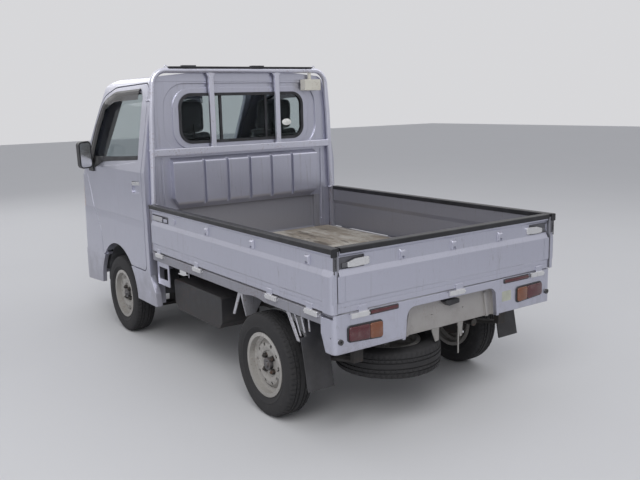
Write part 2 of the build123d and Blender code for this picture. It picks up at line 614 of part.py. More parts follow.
def hinge_fixed_x(x, y, z, seat_y):
    """Valance half of a hinge along X: a leaf seated on the valance, its pin and the pin's end cap."""
    x0 = x + LUG_GAP / 2
    end = x - LUG_GAP * 1.5 - LEAF_LEN
    pin = rod_x(HINGE_PIN_R, end - END_CAP, x0 + 5, y, z)
    cap = rod_x(HINGE_BARREL_R, end - END_CAP, end, y, z)
    leaf = block(x0, x0 + LEAF_LEN, y - HINGE_BARREL_R, y + HINGE_BARREL_R, z - LEAF_LOW, z + LEAF_HIGH)
    foot = block(x0, x0 + LEAF_LEN, seat_y, y, z - LEAF_LOW, z + 4)
    return pin + cap + leaf + foot


def leaf_span(at):
    """Where the gate half of a hinge and the pin's end cap lie along the hinge."""
    return at - LUG_GAP * 2 - LEAF_LEN - END_CAP - 1, at + LUG_GAP / 2 - 0.2


TAIL_HALF = GATE_OUT_X - GATE_T - MOVE_GAP


def make_tail_gate():
    """Tail gate with its paddle latches, rope hooks and hinge eyes."""
    section = make_gate_section(TAIL_OUT_Y, TAIL_OUT_Y - GATE_T)
    gate = along_x(section, -TAIL_HALF, TAIL_HALF)
    upper_half = TAIL_HALF - GATE_STEP - 1
    shoulder = block(upper_half, FAR, TAIL_OUT_Y - 60, TAIL_OUT_Y + 5, GATE_CREASE_Z, GATE_TOP_Z + 5)
    seam = block(TAIL_HALF - 40, TAIL_HALF - 38, TAIL_OUT_Y - 1.5, REAR_Y, GATE_LOW_Z - 5, GATE_CREASE_Z - 3)
    bead = block(-TAIL_HALF - 5, TAIL_HALF + 5, TAIL_OUT_Y - 6.5, REAR_Y, GATE_BEAD_Z, GATE_BEAD_Z + 2.5)
    gate = gate - shoulder - mirrored(shoulder) - seam - mirrored(seam) - bead
    band = TAIL_OUT_Y - GATE_STEP
    pocket = along_y([(upper_half - 142, 862), (upper_half - 3, 862), (upper_half - 3, 916),
                      (upper_half - 142, 916)], band - 8, REAR_Y, 10)
    paddle = along_y([(642, 868), (600, 866), (522, 869), (522, 904), (600, 902), (642, 890)],
                     band - 1, band + 8, [4, 0, 9, 9, 0, 4])
    pivot = block(590, 668, band - 9, band + 1, 869, 889)
    gate = gate - pocket - mirrored(pocket) + paddle + mirrored(paddle) + pivot + mirrored(pivot)
    for x in TAIL_HOOKS:
        gate = gate + Pos(x, band, 0) * Rot(0, 0, 180) * rope_hook()
    for x in TAIL_HINGES:
        gate = gate + hinge_eye_x(x, HINGE_Y, HINGE_Z)
    return gate


def make_trim_section(outer, inner):
    """Section of a gate's trim as (out, z) corners: a cap with a lip down each side."""
    low_z = GATE_TOP_Z - TRIM_DROP
    high_z = GATE_TOP_Z + TRIM_T
    return [(outer + 8, low_z), (outer + 8, high_z), (inner - 3, high_z), (inner - 3, low_z), (inner, low_z),
            (inner, GATE_TOP_Z), (outer - 1, GATE_TOP_Z), (outer - 1, low_z)]


def make_trims():
    """Black strips that cap the gates; the side ones end in a block that hangs over the gate's end."""
    corners_r = [0, 6, 4, 0, 0, 0, 0, 0]
    rear_y = REAR_Y - 9
    inner_x = GATE_OUT_X - GATE_T - GATE_STEP
    side = along_y(make_trim_section(GATE_OUT_X, inner_x), SIDE_GATE_FRONT_Y, rear_y, corners_r)
    end = along_y([(inner_x + 10, GATE_TOP_Z - 22), (GATE_OUT_X + 8, GATE_TOP_Z - 22),
                   (GATE_OUT_X + 8, GATE_TOP_Z + TRIM_T), (inner_x + 10, GATE_TOP_Z + TRIM_T)],
                  rear_y, rear_y + 5, [5, 5, 6, 6])
    half = inner_x - 3 - MOVE_GAP
    tail = along_x(make_trim_section(TAIL_OUT_Y - 2.5, TAIL_OUT_Y - GATE_T - GATE_STEP), -half, half, corners_r)
    lip_room = block(-FAR, FAR, TAIL_OUT_Y - 4, TAIL_OUT_Y - 1, 0, GATE_TOP_Z)
    return side + end, tail - lip_room


HINGE_SWEEP_R = 17.0
SILL_RUNS = (-655.0, -355.0, 345.0, 515.0)     # cross sills, from the rear axle


def make_deck():
    """Bed deck: floor sheet, side rails, cross sills and the posts at its front corners."""
    rear_y = VALANCE_Y - VALANCE_T
    deck = block(-BED_INNER_X, BED_INNER_X, CAB_REAR_Y + 5, rear_y, DECK_Z - DECK_T, DECK_Z)
    for side in (-1, 1):
        x0, x1 = sorted((side * 668, side * (BED_INNER_X - 1)))
        deck = deck + block(x0, x1, CAB_REAR_Y + 42, rear_y, DECK_Z - 1, DECK_Z + 4)
    x_in = RAIL_OUT_X - 30
    rail = along_y([(x_in, RAIL_LOW_Z), (RAIL_OUT_X, RAIL_LOW_Z), (RAIL_OUT_X, DECK_Z - 4), (x_in, DECK_Z - 4)],
                   SIDE_GATE_FRONT_Y - 20, VALANCE_FRONT_Y, [0, 4, 4, 0])
    chord = 100.0
    rise = 13.0
    arc_r = (chord ** 2 + rise ** 2) / (2 * rise)
    relief = rod_x(arc_r, 600, FAR, REAR_AXLE_Y - 50, RAIL_LOW_Z + rise - arc_r)
    rail = rail - relief
    deck = deck + rail + mirrored(rail)
    under = DECK_Z - DECK_T
    for y in (-200.0, 100.0, *[REAR_AXLE_Y + run for run in SILL_RUNS]):
        deck = deck + block(-x_in - 2, x_in + 2, y - 22, y + 22, under - SILL_H, under + 1)
    post = block(686, 716, GUARD_Y - GUARD_R, SIDE_GATE_FRONT_Y - MOVE_GAP, under, POST_TOP_Z)
    deck = deck + post + mirrored(post)
    for y in SIDE_HINGES:
        y0, y1 = leaf_span(y)
        room = rod_y(HINGE_SWEEP_R, y0, y1, HINGE_X, HINGE_Z)
        room = room + block(RAIL_OUT_X - 5, FAR, y0, y1, HINGE_Z, DECK_Z + 5)
        deck = deck - room - mirrored(room)
        fixed = hinge_fixed_y(y, HINGE_X, HINGE_Z)
        deck = deck + fixed + mirrored(fixed)
    stays = make_stays()
    for stay in stays:
        deck = deck + stay + mirrored(stay)
    return deck


# straps under the left side rail: outline in (y from the rear axle, z from the rail's edge), inner x, thickness
STAYS = (
    (((-257, 5), (-231, 5), (-311, -142), (-333, -142)), 688, 6),
    (((191, 5), (225, 5), (313, -140), (289, -140)), 688, 6),
    (((263, 5), (275, 5), (329, -108), (319, -108)), 690, 5),
    (((321, 5), (333, 5), (361, -84), (351, -84)), 690, 5),
    (((385, 5), (395, 5), (401, -68), (393, -68)), 690, 5),
    (((-863, 5), (-853, 5), (-853, -42), (-863, -42)), 690, 5),
)


def make_stays():
    """Straps under the left side rail and the shield ahead of the rear wheel."""
    axle = REAR_AXLE_Y
    low = RAIL_LOW_Z
    made = [along_x([(axle + run, low + rise) for run, rise in outline], x, x + t) for outline, x, t in STAYS]
    made.append(along_y([(596, low + 4), (712, low + 4), (712, low - 38), (694, low - 126), (640, low - 126),
                         (596, low - 59)], axle - 193, axle - 188))
    made.append(along_x([(axle - 229, low + 4), (axle - 189, low + 4), (axle - 189, low - 84)], 700, 705))
    return made


def make_plywood():
    """Worn plywood sheet on the front half of the deck, a little askew."""
    return along_z([(-660, -272), (660, -266), (664, -120), (660, 470), (120, 492), (-640, 505), (-652, 420)],
                   DECK_Z, DECK_Z + 12)


VALANCE_LOW_Z = 484.0
VALANCE_TOP_Z = 662.0
VALANCE_CORNER_R = 22.0
PLATE_HOLE_R = 3.5
PLATE_HOLE_PITCH = 210.0
PLATE_HOLE_Z = 548.0
RECESS_HALF = 316.0
RECESS_TOP_Z = 626.0
RECESS_TAPER = 20.0
RECESS_BACK = 42.0


def recess_outline(grow, low_z):
    """Outline of the plate's recess as (x, z) corners, wider at its open foot."""
    foot = RECESS_HALF + grow
    head = foot - RECESS_TAPER
    return [(-foot, low_z), (foot, low_z), (head, RECESS_TOP_Z + grow), (-head, RECESS_TOP_Z + grow)]


def make_valance():
    """Rear valance: a sheet round both corners, with a ribbed recess for the plate in its middle."""
    half = RAIL_OUT_X
    front_y = VALANCE_FRONT_Y
    outer = along_z([(-half, front_y), (half, front_y), (half, VALANCE_Y), (-half, VALANCE_Y)],
                    VALANCE_LOW_Z, VALANCE_TOP_Z, [0, 0, VALANCE_CORNER_R, VALANCE_CORNER_R])
    half = half - VALANCE_T
    inner_y = VALANCE_Y - VALANCE_T
    inner_r = VALANCE_CORNER_R - VALANCE_T
    inner = along_z([(-half, front_y - 5), (half, front_y - 5), (half, inner_y), (-half, inner_y)],
                    VALANCE_LOW_Z - 5, VALANCE_TOP_Z - VALANCE_T, [0, 0, inner_r, inner_r])
    shape = outer - inner
    back_y = VALANCE_Y - RECESS_BACK
    cut = along_y(recess_outline(0, 400), VALANCE_Y - 40, VALANCE_Y + 10, [0, 0, 48, 48])
    tray_out = along_y(recess_outline(10, 475), back_y - 10, VALANCE_Y - 2, [0, 0, 58, 58])
    tray_in = along_y(recess_outline(0, 400), back_y, VALANCE_Y + 10, [0, 0, 48, 48])
    shape = shape - cut + (tray_out - tray_in)
    for lean in (-1, 1):
        x = lean * (RECESS_HALF - 64)
        rib = along_y([(x - 8, 602), (x + 8, 602), (x + 8 + lean * 22, 470), (x - 8 + lean * 22, 470)],
                      back_y - 2, back_y + 10, 4)
        shape = shape + rib
    shape = shape - block(-FAR, FAR, back_y + 1, REAR_Y + 200, 300, 474)
    shape = shape - block(-FAR, FAR, 0, front_y + 0.1, VALANCE_TOP_Z - 90, VALANCE_TOP_Z + 10)
    shape = shape - block(-FAR, FAR, 0, VALANCE_Y - VALANCE_T, DECK_Z - DECK_T, 900)
    shape = shape - along_x([(front_y - 60, 570), (front_y, 570), (front_y + 28, VALANCE_LOW_Z + 14),
                             (front_y + 44, 460), (front_y - 60, 460)], -FAR, FAR, [0, 20, 16, 0, 0])
    for x in TAIL_HINGES:
        x0, x1 = leaf_span(x)
        room = rod_x(HINGE_SWEEP_R, x0, x1, HINGE_Y, HINGE_Z)
        room = room + block(x0, x1, HINGE_Y - 15, REAR_Y + 200, HINGE_Z, 700)
        shape = shape - room + hinge_fixed_x(x, HINGE_Y, HINGE_Z, VALANCE_Y - 4)
    for side in (-1, 1):
        shape = shape - rod_y(PLATE_HOLE_R, back_y - 30, back_y + 10, side * PLATE_HOLE_PITCH / 2, PLATE_HOLE_Z)
        stop_x = side * (RAIL_OUT_X - 31)
        stop = rod_y(13, VALANCE_Y - 2, VALANCE_Y + 9, stop_x, 541) - rod_y(5, VALANCE_Y + 2, VALANCE_Y + 20, stop_x, 541)
        vent = rod_x(5, *sorted((side * (RAIL_OUT_X - 20), side * (RAIL_OUT_X + 20))), VALANCE_Y - 30, 556)
        shape = shape + stop - vent
    return shape


def make_rear_fittings():
    """Plate brackets with the plate lamp's housing, tail lamps and long reflectors."""
    face_y = VALANCE_Y - RECESS_BACK
    arms = [along_y([(53, 474), (106, 474), (78, 406), (54, 409)], face_y - 9, face_y - 4),
            along_y([(-112, 474), (-70, 474), (-91, 398), (-104, 400)], face_y - 9, face_y - 4)
            + along_y([(-86, 474), (-77, 474), (-77, 313), (-86, 313)], face_y - 9, face_y - 5)]
    brackets = [arm + block(x0, x1, face_y - 9, face_y - 1, 466, 475)
                for arm, x0, x1 in zip(arms, (56.0, -109.0), (103.0, -73.0))]
    lamp_box = along_y([(-47, 590), (22, 584), (46, 604), (46, 612), (-47, 612)], face_y, face_y + 34, 4)
    lamps = []
    for side in (-1, 1):
        base = [(side * 449, 517), (side * 650, 530), (side * 650, 606), (side * 449, 603)]
        lens = [(side * 456, 524), (side * 643, 536), (side * 643, 599), (side * 456, 596)]
        lamp = along_y(base, VALANCE_Y, VALANCE_Y + 6, 16) + along_y(lens, VALANCE_Y, VALANCE_Y + 13, 12)
        x = side * 528
        lamps.append(lamp - block(x - 1.5, x + 1.5, VALANCE_Y + 8, VALANCE_Y + 20, 500, 640))
        r0, r1 = (354, TAIL_HINGES[2] - LEAF_LEN - 14) if side > 0 else (TAIL_HINGES[0] + LEAF_LEN + 5, -354)
        lamps.append(along_y([(r0, 634), (r1, 634), (r1, 659), (r0, 659)], VALANCE_Y, VALANCE_Y + 7, 7))
    return brackets, lamp_box, lamps


def make_tyre(x):
    """Tyre seated on its rim's beads; x is the wheel's middle."""
    side = [(TREAD_WIDTH / 2 - 12, TYRE_R), (TREAD_WIDTH / 2 + 2, TYRE_R - 4), (TYRE_WIDTH / 2 - 7, TYRE_R - 16),
            (TYRE_WIDTH / 2 - 1, TYRE_R - 38), (TYRE_WIDTH / 2, TYRE_R - 55), (TYRE_WIDTH / 2 - 2, TYRE_R - 74),
            (RIM_WIDTH / 2 - 4, RIM_FLANGE_R + 6), (RIM_WIDTH / 2 - 4, BEAD_R)]
    section = side + [(-a, r) for a, r in reversed(side)]
    line = Polyline(*[(a, r, 0) for a, r in section], close=True)
    return Pos(x, 0, 0) * revolve(make_face(line.edges()), axis=Axis.X)


def make_wheel_disc():
    """Steel rim: barrel and dished disc with a ring of round holes, facing +X."""
    half = RIM_WIDTH / 2
    flange = RIM_FLANGE_R
    well = RIM_WELL_R
    t = RIM_WALL
    barrel = [(half, flange), (half - 4, flange), (half - 4, BEAD_R), (half - 30, BEAD_R), (half - 40, well),
              (-half + 44, well), (-half + 34, BEAD_R), (-half + 4, BEAD_R), (-half + 4, flange), (-half, flange),
              (-half, BEAD_R - t), (-half + 32, BEAD_R - t), (-half + 42, well - t), (half - 42, well - t),
              (half - 32, BEAD_R - t), (half, BEAD_R - t)]
    disc = [(12, well - t + 1), (20, 120), (34, 108), (36, 88), (30, 70), (22, 64), (22, 20), (16, 20), (16, 66),
            (24, 74), (30, 88), (28, 104), (14, 116), (4, well - t + 1)]
    shape = revolve(make_face(Polyline(*[(a, r, 0) for a, r in barrel], close=True).edges()), axis=Axis.X)
    shape = shape + revolve(make_face(Polyline(*[(a, r, 0) for a, r in disc], close=True).edges()), axis=Axis.X)
    for k in range(DISC_HOLES):
        angle = 2 * pi * k / DISC_HOLES
        y = DISC_HOLE_PITCH_R * cos(angle)
        z = DISC_HOLE_PITCH_R * sin(angle)
        shape = shape - rod_x(DISC_HOLE_R, 10, 60, y, z)
    return shape


def make_rim(x):
    """Wheel disc with its hub, bored for the spindle, and its nuts; outwards from the vehicle."""
    shape = make_wheel_disc() - rod_x(HUB_R - 0.5, -30, 40, 0, 0)
    shape = shape + rod_x(HUB_R, -20, 40, 0, 0) - rod_x(SPINDLE_R + RUNNING, -30, 28, 0, 0)
    for k in range(4):
        angle = pi / 4 + pi / 2 * k
        shape = shape + rod_x(NUT_R, 21, 38, BOLT_PITCH_R * cos(angle), BOLT_PITCH_R * sin(angle))
    if x < 0:
        shape = mirrored(shape)
    return Pos(x, 0, 0) * shape


def make_knuckle():
    """Left knuckle: spindle, drum with its backplate, upright, strut and ball joint."""
    x = TRACK_FRONT / 2
    spindle = rod_x(SPINDLE_R, x - 40, x + 20, 0, 0)
    drum = rod_x(DRUM_R, x - 44, x - 24, 0, 0)
    upright = block(555, x - 40, -22, 22, -80, 74)
    strut = rod_z(21, 40, 210, 552, 0) + rod_z(11, 200, 342, 552, 0)
    joint = rod_z(12, -114 + FIT, -60, KINGPIN_X, 0)
    foot = block(560, KINGPIN_X, -14, 14, -82, -66)
    arm = block(560, 590, -130, 0, -62, -48)
    shape = spindle + drum + upright + strut + joint + foot + arm
    return Pos(0, FRONT_AXLE_Y, TYRE_R) * shape


def make_front_suspension():
    """Front cross member, lower arms and strut towers."""
    y = FRONT_AXLE_Y
    z = TYRE_R
    reach = RAIL_X - RAIL_W / 2
    top_z = FRAME_FRONT_Z + 15
    member = block(-330, 330, y - 60, y + 60, 215, 262) + block(-reach, reach, y - 45, y + 45, 262, top_z)
    for side in (-1, 1):
        arm = along_z([(side * 300, y - 70), (side * 300, y + 30), (side * 600, y + 16), (side * 626, y),
                       (side * 600, y - 16)], z - 134, z - 114)
        stay = block(min(side * 310, side * 345), max(side * 310, side * 345), y - 60, y + 30, z - 134, 262)
        member = member + arm + stay
    return member


TOW_Y = REAR_Y - 89.5
TOW_Z = 468.0
TOW_R = 13.0
TOW_T = 12.0


def make_frame():
    """Ladder frame: two rails that rise over the rear axle, and cross members."""
    high = DECK_Z - DECK_T - SILL_H - RAIL_H
    axle = REAR_AXLE_Y
    rear_y = REAR_Y - 97.5
    line = [(-1560.0, FRAME_FRONT_Z), (-430.0, FRAME_FRONT_Z), (-260.0, FRAME_MID_Z), (axle - 415, FRAME_MID_Z),
            (axle - 255, high), (rear_y, high)]
    upper = [(y, z + RAIL_H) for y, z in reversed(line)]
    rail = along_x(line + upper, RAIL_X - RAIL_W / 2, RAIL_X + RAIL_W / 2)
    frame = rail + mirrored(rail)
    for y, z in ((-1500.0, FRAME_FRONT_Z + 10), (30.0, FRAME_MID_Z + 25), (axle - 415, FRAME_MID_Z + 25),
                 (axle + 195, high + 20), (rear_y - 20, high + 10)):
        frame = frame + block(-RAIL_X, RAIL_X, y - 25, y + 25, z, z + 55)
    eye = along_x([(TOW_Y - 68, high + 5), (TOW_Y - 8, high + 5), (TOW_Y + 32, TOW_Z), (TOW_Y - 4, TOW_Z - 30),
                   (TOW_Y - 68, TOW_Z + 20)],
                  RAIL_X - TOW_T / 2, RAIL_X + TOW_T / 2, [0, 0, 22, 16, 0])
    eye = eye - rod_x(TOW_R, 0, FAR, TOW_Y, TOW_Z)
    return frame + eye


SHAFT_X = 20.0
SHAFT_END = 160.0            # from the rear axle's line forward to the shaft's joint


def make_rear_axle():
    """Rear axle: tube, differential, drums and spindles."""
    x = TRACK_REAR / 2
    tube = rod_x(32, -x + 40, x - 40, 0, 0)
    pot = Pos(SHAFT_X, 0, 0) * Sphere(95)
    axle = tube + pot + rod_y(42, -SHAFT_END, -80, SHAFT_X, 0)
    for side in (-1, 1):
        axle = axle + rod_x(SPINDLE_R, min(side * (x - 42), side * (x + 20)), max(side * (x - 42), side * (x + 20)), 0, 0)
        axle = axle + rod_x(DRUM_R, min(side * (x - 50), side * (x - 24)), max(side * (x - 50), side * (x - 24)), 0, 0)
    return Pos(0, REAR_AXLE_Y, TYRE_R) * axle


SPRING_X = 490.0


def make_springs():
    """Leaf springs on top of the rear axle, with their shackles and dampers."""
    y = REAR_AXLE_Y
    pieces = []
    for side in (-1, 1):
        x0, x1 = sorted((side * (SPRING_X - 27), side * (SPRING_X + 27)))
        z = TYRE_R + 32
        leaf = along_x([(y - 480, z + 70), (y - 220, z + 14), (y, z), (y + 220, z + 14), (y + 480, z + 70),
                        (y + 480, z + 82), (y + 200, z + 30), (y, z + 30), (y - 200, z + 30), (y - 480, z + 82)],
                       x0, x1)
        front_eye = rod_x(20, x0, x1, y - 490, z + 76)
        link_a, link_b = sorted((side * (RAIL_X + RAIL_W / 2), side * SPRING_X))
        front_z = FRAME_MID_Z + RAIL_H - 5
        rear_z = DECK_Z - DECK_T - SILL_H - 20
        hang = block(x0, x1, y - 508, y - 470, z + 76, front_z)
        shackle = block(x0, x1, y + 470, y + 500, z + 70, rear_z)
        bridge = block(link_a, link_b, y - 508, y - 470, front_z - 35, front_z)
        bridge = bridge + block(link_a, link_b, y + 470, y + 500, rear_z - 35, rear_z)
        pieces.append(leaf + front_eye + hang + shackle + bridge)
    return pieces


def make_engine():
    """Engine as one plain block, gearbox and propeller shaft."""
    engine = block(-200, 190, -930, -480, FRAME_FRONT_Z + 15, 600)
    gearbox = along_z([(-130, -480), (130, -480), (SHAFT_X + 60, -80), (SHAFT_X - 60, -80)], 215, 410)
    shaft = rod_y(30, -80, REAR_AXLE_Y - SHAFT_END, SHAFT_X, TYRE_R)
    return engine, gearbox, shaft


def make_tank():
    """Fuel tank on the left behind the cab, and the filler's bracket at the bed's side."""
    rear_y = REAR_AXLE_Y - 535
    tank = along_x([(-60, 310), (rear_y - 40, 310), (rear_y, 350), (rear_y, 500), (-100, 500), (-100, 350)],
                   RAIL_X + RAIL_W / 2, 655, 20)
    plate = block(698, 706, -232, -60, 455, RAIL_LOW_Z) - block(690, 720, -208, -80, 494, 570)
    return tank, plate


def make_exhaust():
    """Silencer and tail pipe."""
    x = -270.0
    z = 345.0
    axle = REAR_AXLE_Y
    can = rod_y(75, axle - 925, axle - 525, x, z)
    tail = tube_path([(x, axle - 530, z), (x, axle - 355, z), (x, axle - 195, z + 75), (x, REAR_Y - 137, z + 75)],
                     120, 19)
    down = tube_path([(-200, -640, 400), (x, -640, 400), (x, -300, z), (x, axle - 920, z)], [60, 200], 19)
    return can + tail + down


SPARE_X = 185.0
SPARE_Y = REAR_AXLE_Y + 345.0
SPARE_Z = 330.0


def make_spare():
    """Spare wheel slung flat under the rear of the bed, with its hanger up to a cross sill."""
    turn = Pos(SPARE_X, SPARE_Y, SPARE_Z) * Rot(0, 90, 0)
    clamp = rod_z(46, SPARE_Z - 28, SPARE_Z - 22, SPARE_X, SPARE_Y)
    rod = rod_z(11, SPARE_Z - 24, DECK_Z - DECK_T - SILL_H, SPARE_X, SPARE_Y)
    return turn * make_tyre(0), turn * make_wheel_disc() + clamp + rod


def make_mud_flaps():
    """Rubber flaps behind the rear wheels."""
    y = REAR_AXLE_Y + 337
    top = DECK_Z - DECK_T - SILL_H
    flap = along_x([(y, top), (y + 8, top), (y + 78, 250), (y + 70, 250)], 570, 718)
    return both(flap - block(686, FAR, y - 10, y + 60, 500, top + 10))


def make_guard():
    """Guard frame of tube behind the cab."""
    y = GUARD_Y
    top = GUARD_TOP_Z
    loop = tube_path([(692, y, POST_TOP_Z + 4), (672, y, 1500), (648, y, top), (-648, y, top), (-672, y, 1500),
                      (-692, y, POST_TOP_Z + 4)], [900, 95, 95, 900], GUARD_R)
    bar = along_x([(y - 12, 1252), (y + 12, 1252), (y + 12, 1298), (y - 12, 1298)], -676, 676, 5)
    frame = loop + bar
    for x in (-250.0, 250.0):
        frame = frame + block(x - 17, x + 17, y - 10, y + 10, 1290, top - 7)
    foot = block(672, 716, y - 14, y + 14, POST_TOP_Z, POST_TOP_Z + 8)
    frame = frame + foot + mirrored(foot)
    frame = frame + rod_x(9, 664, 702, y, 1600) + rod_x(7, 672, 700, y, 1292)
    for side in (-1, 1):
        ring = Pos(side * 557, y, top + GUARD_R + 4) * Rot(90, 0, 0) * Torus(10, 3)
        frame = frame + ring
    return frame


def make_guard_rubber():
    """Rubber strip on the guard frame's top tube, with two pads."""
    y = GUARD_Y
    base_z = GUARD_TOP_Z + GUARD_R + FIT
    strip = block(-540, 540, y - 17, y + 19, base_z, base_z + 7)
    for x in (404.0, -97.0):
        strip = strip + block(x - 45, x + 45, y - 17, y + 21, base_z, base_z + 14)
    return strip


def make_work_lamp():
    """Square work lamp under the guard frame's top tube."""
    y = GUARD_Y
    top = GUARD_TOP_Z - GUARD_R - FIT
    body = block(-588, -456, y - 16, y + 44, top - 119, top - 43)
    stem = block(-532, -512, y - 8, y + 8, top - 45, top)
    return body + stem


def make_dash():
    """Dashboard across the cab, under the windscreen."""
    half = HALF_WIDTH - DOOR_T - 20
    profile = [(-1570, 780), (-1330, 800), (-1300, 880), (-1330, 985), (-1400, 1030), (-1560, 1045)]
    dash = along_x(profile, -half, half, [0, 20, 40, 60, 40, 0])
    return dash & CAB_INNER & (DOOR_INNER + block(-555, 555, -1800, -1200, 700, 1100))


STEER_X = -340.0


def make_steering_wheel():
    """Steering wheel and its column, on the right."""
    wheel = Torus(178, 13) + Cylinder(34, 36)
    for angle in (90, 210, 330):
        wheel = wheel + Rot(0, 0, angle) * Pos(90, 0, 0) * Box(180, 22, 10)
    column = Pos(0, 0, -120) * Cylinder(22, 220)
    tilt = -42.0
    return Pos(STEER_X, -1185, 1010) * Rot(tilt, 0, 0) * (wheel + column)


def make_seat(x, width):
    """Seat: cushion and high backrest, narrower at the head."""
    base_z = SEAT_Z + FIT
    half = width / 2
    cushion = along_x([(-1130, base_z), (-580, base_z), (-580, base_z + 90), (-1130, base_z + 120)],
                      x - half, x + half, [0, 0, 10, 40])
    back = along_x([(-610, base_z + 20), (-500, base_z + 20), (-395, 1560), (-430, 1602), (-475, 1600), (-520, 1420)],
                   x - half + 8, x + half - 8, [10, 10, 20, 20, 20, 200])
    outline = along_y([(x - half, base_z), (x + half, base_z), (x + half, 1360), (x + 138, 1450), (x + 118, 1610),
                       (x - 118, 1610), (x - 138, 1450), (x - half, 1360)], -700, -300,
                      [0, 0, 70, 60, 50, 50, 60, 70])
    return cushion + (back & outline)


def build():
    """Make every piece of the truck."""
    roof, front, rear, sides = make_cab()
    grille, grille_room = make_grille()
    lamp, lamp_cut = make_headlamps()
    front = front - grille_room - lamp_cut - mirrored(lamp_cut)
    add("cab_roof", roof)
    add("front_panel", front)
    add("cab_rear_panel", make_rear_panel(rear))
    add("cab_side_frames", sides)
    bumper = make_bumper()
    add("front_grille", group(grille, make_intake_grille(bumper)))
    add("headlamps", both(lamp))
    add("front_bumper", bumper)
    add("wipers", group(*[wiper - sides for wiper in make_wipers()]))
    add("cab_floor", make_floor())
    screen, panes, seal = make_glass()
    add("windscreen", screen)
    add("rear_window_panes", panes)
    add("rear_window_seal", seal)
    wheel = make_steering_wheel()
    add("dashboard", make_dash() - wheel)
    add("steering_wheel", wheel)
    for name, x in (("seat_left", 350.0), ("seat_right", -350.0)):
        add(name, make_seat(x, 440.0))
    add("guard_frame", make_guard())
    add("guard_rubber", make_guard_rubber())
    add("work_lamp", make_work_lamp())
    door = make_door()
    glass = make_door_glass()
    wing = make_mirror()
    add("door_left", door)
    add("door_right", mirrored(door))
    add("door_glass_left", glass)
    add("door_glass_right", mirrored(glass))
    add("mirror_left", wing - door)
    add("mirror_right", mirrored(wing - door))
    add("bed_deck", make_deck())
    add("plywood_sheet", make_plywood())
    add("rear_valance", make_valance())
    brackets, lamp_box, lamps = make_rear_fittings()
    add("plate_brackets", group(*brackets))
    add("plate_lamp", lamp_box)
    add("tail_lamps", group(*lamps))
    gate = make_side_gate()
    side_trim, tail_trim = make_trims()
    add("side_gate_left", gate)
    add("side_gate_right", mirrored(gate))
    add("tail_gate", make_tail_gate())
    add("gate_trim_left", side_trim)
    add("gate_trim_right", mirrored(side_trim))
    add("gate_trim_tail", tail_trim)
    add("chassis_frame", make_frame())
    engine, gearbox, shaft = make_engine()
    add("engine_block", engine)
    add("gearbox", gearbox)
    add("propeller_shaft", shaft)
    tank, plate = make_tank()
    add("fuel_tank", tank)
    add("filler_bracket", plate)
    add("exhaust", make_exhaust())
    spare_tyre, spare_rim = make_spare()
    add("spare_tyre", spare_tyre)
    add("spare_rim", spare_rim)
    add("front_suspension", make_front_suspension())
    add("rear_axle", make_rear_axle())
    add("leaf_springs", group(*make_springs()))
    add("mud_flaps", make_mud_flaps())
    knuckle = make_knuckle()
    add("knuckle_left", knuckle)
    add("knuckle_right", mirrored(knuckle))
    for name, x, y in (("fl", TRACK_FRONT / 2, FRONT_AXLE_Y), ("fr", -TRACK_FRONT / 2, FRONT_AXLE_Y),
                       ("rl", TRACK_REAR / 2, REAR_AXLE_Y), ("rr", -TRACK_REAR / 2, REAR_AXLE_Y)):
        add("tyre_" + name, Pos(0, y, TYRE_R) * make_tyre(x))
        add("rim_" + name, Pos(0, y, TYRE_R) * make_rim(x))


build()
for node, shape in NODES.items():
    export_step(shape, f"parts/{node}.step")
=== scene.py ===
"""Looks of a small silver cab-over pickup with a drop-side bed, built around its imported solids.

Metres. +Z is up from the ground, the front faces -Y, and the vehicle's left side is +X.
Every mesh is made in that frame, so an object's own coordinates are places on the vehicle.
"""

import json
import logging
from dataclasses import dataclass
from enum import Enum
from functools import reduce
from math import copysign, cos, exp, pi, radians, sin, tan, tau
from typing import Iterable, Sequence, Union

import bmesh
import bpy
from mathutils import Matrix, Vector
from mathutils.bvhtree import BVHTree

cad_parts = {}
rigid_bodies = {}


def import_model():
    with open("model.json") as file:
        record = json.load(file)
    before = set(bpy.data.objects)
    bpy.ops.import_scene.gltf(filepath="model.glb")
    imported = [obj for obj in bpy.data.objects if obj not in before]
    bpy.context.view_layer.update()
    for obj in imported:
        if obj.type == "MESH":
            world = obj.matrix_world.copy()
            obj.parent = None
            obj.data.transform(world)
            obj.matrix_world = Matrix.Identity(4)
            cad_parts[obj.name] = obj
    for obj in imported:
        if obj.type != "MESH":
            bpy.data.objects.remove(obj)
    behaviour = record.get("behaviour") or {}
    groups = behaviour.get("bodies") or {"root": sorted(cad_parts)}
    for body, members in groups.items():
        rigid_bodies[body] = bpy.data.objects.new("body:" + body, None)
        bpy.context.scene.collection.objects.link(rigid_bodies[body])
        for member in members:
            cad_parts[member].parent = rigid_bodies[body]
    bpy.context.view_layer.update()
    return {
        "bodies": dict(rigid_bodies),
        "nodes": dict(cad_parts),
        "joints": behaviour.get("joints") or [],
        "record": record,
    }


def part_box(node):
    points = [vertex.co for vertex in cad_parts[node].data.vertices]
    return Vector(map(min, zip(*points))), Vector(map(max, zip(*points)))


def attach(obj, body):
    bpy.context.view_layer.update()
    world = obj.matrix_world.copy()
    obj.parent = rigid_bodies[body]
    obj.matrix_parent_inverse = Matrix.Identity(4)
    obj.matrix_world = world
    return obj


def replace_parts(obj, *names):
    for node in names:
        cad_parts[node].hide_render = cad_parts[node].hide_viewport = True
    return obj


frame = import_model()
NODES = frame["nodes"]
LOG = logging.getLogger("pickup")

Socket = bpy.types.NodeSocket
Number = Union[Socket, float]
Colour = tuple[float, float, float]
Point = tuple[float, float, float]
Line = Sequence[Sequence[float]]
Outline = Sequence[tuple[float, float]]


class Side(Enum):
    """Which side of the vehicle a piece is on, with the sign of its x."""

    LEFT = 1
    RIGHT = -1

    @property
    def word(self) -> str:
        """The side's name in lower case."""
        return self.name.lower()


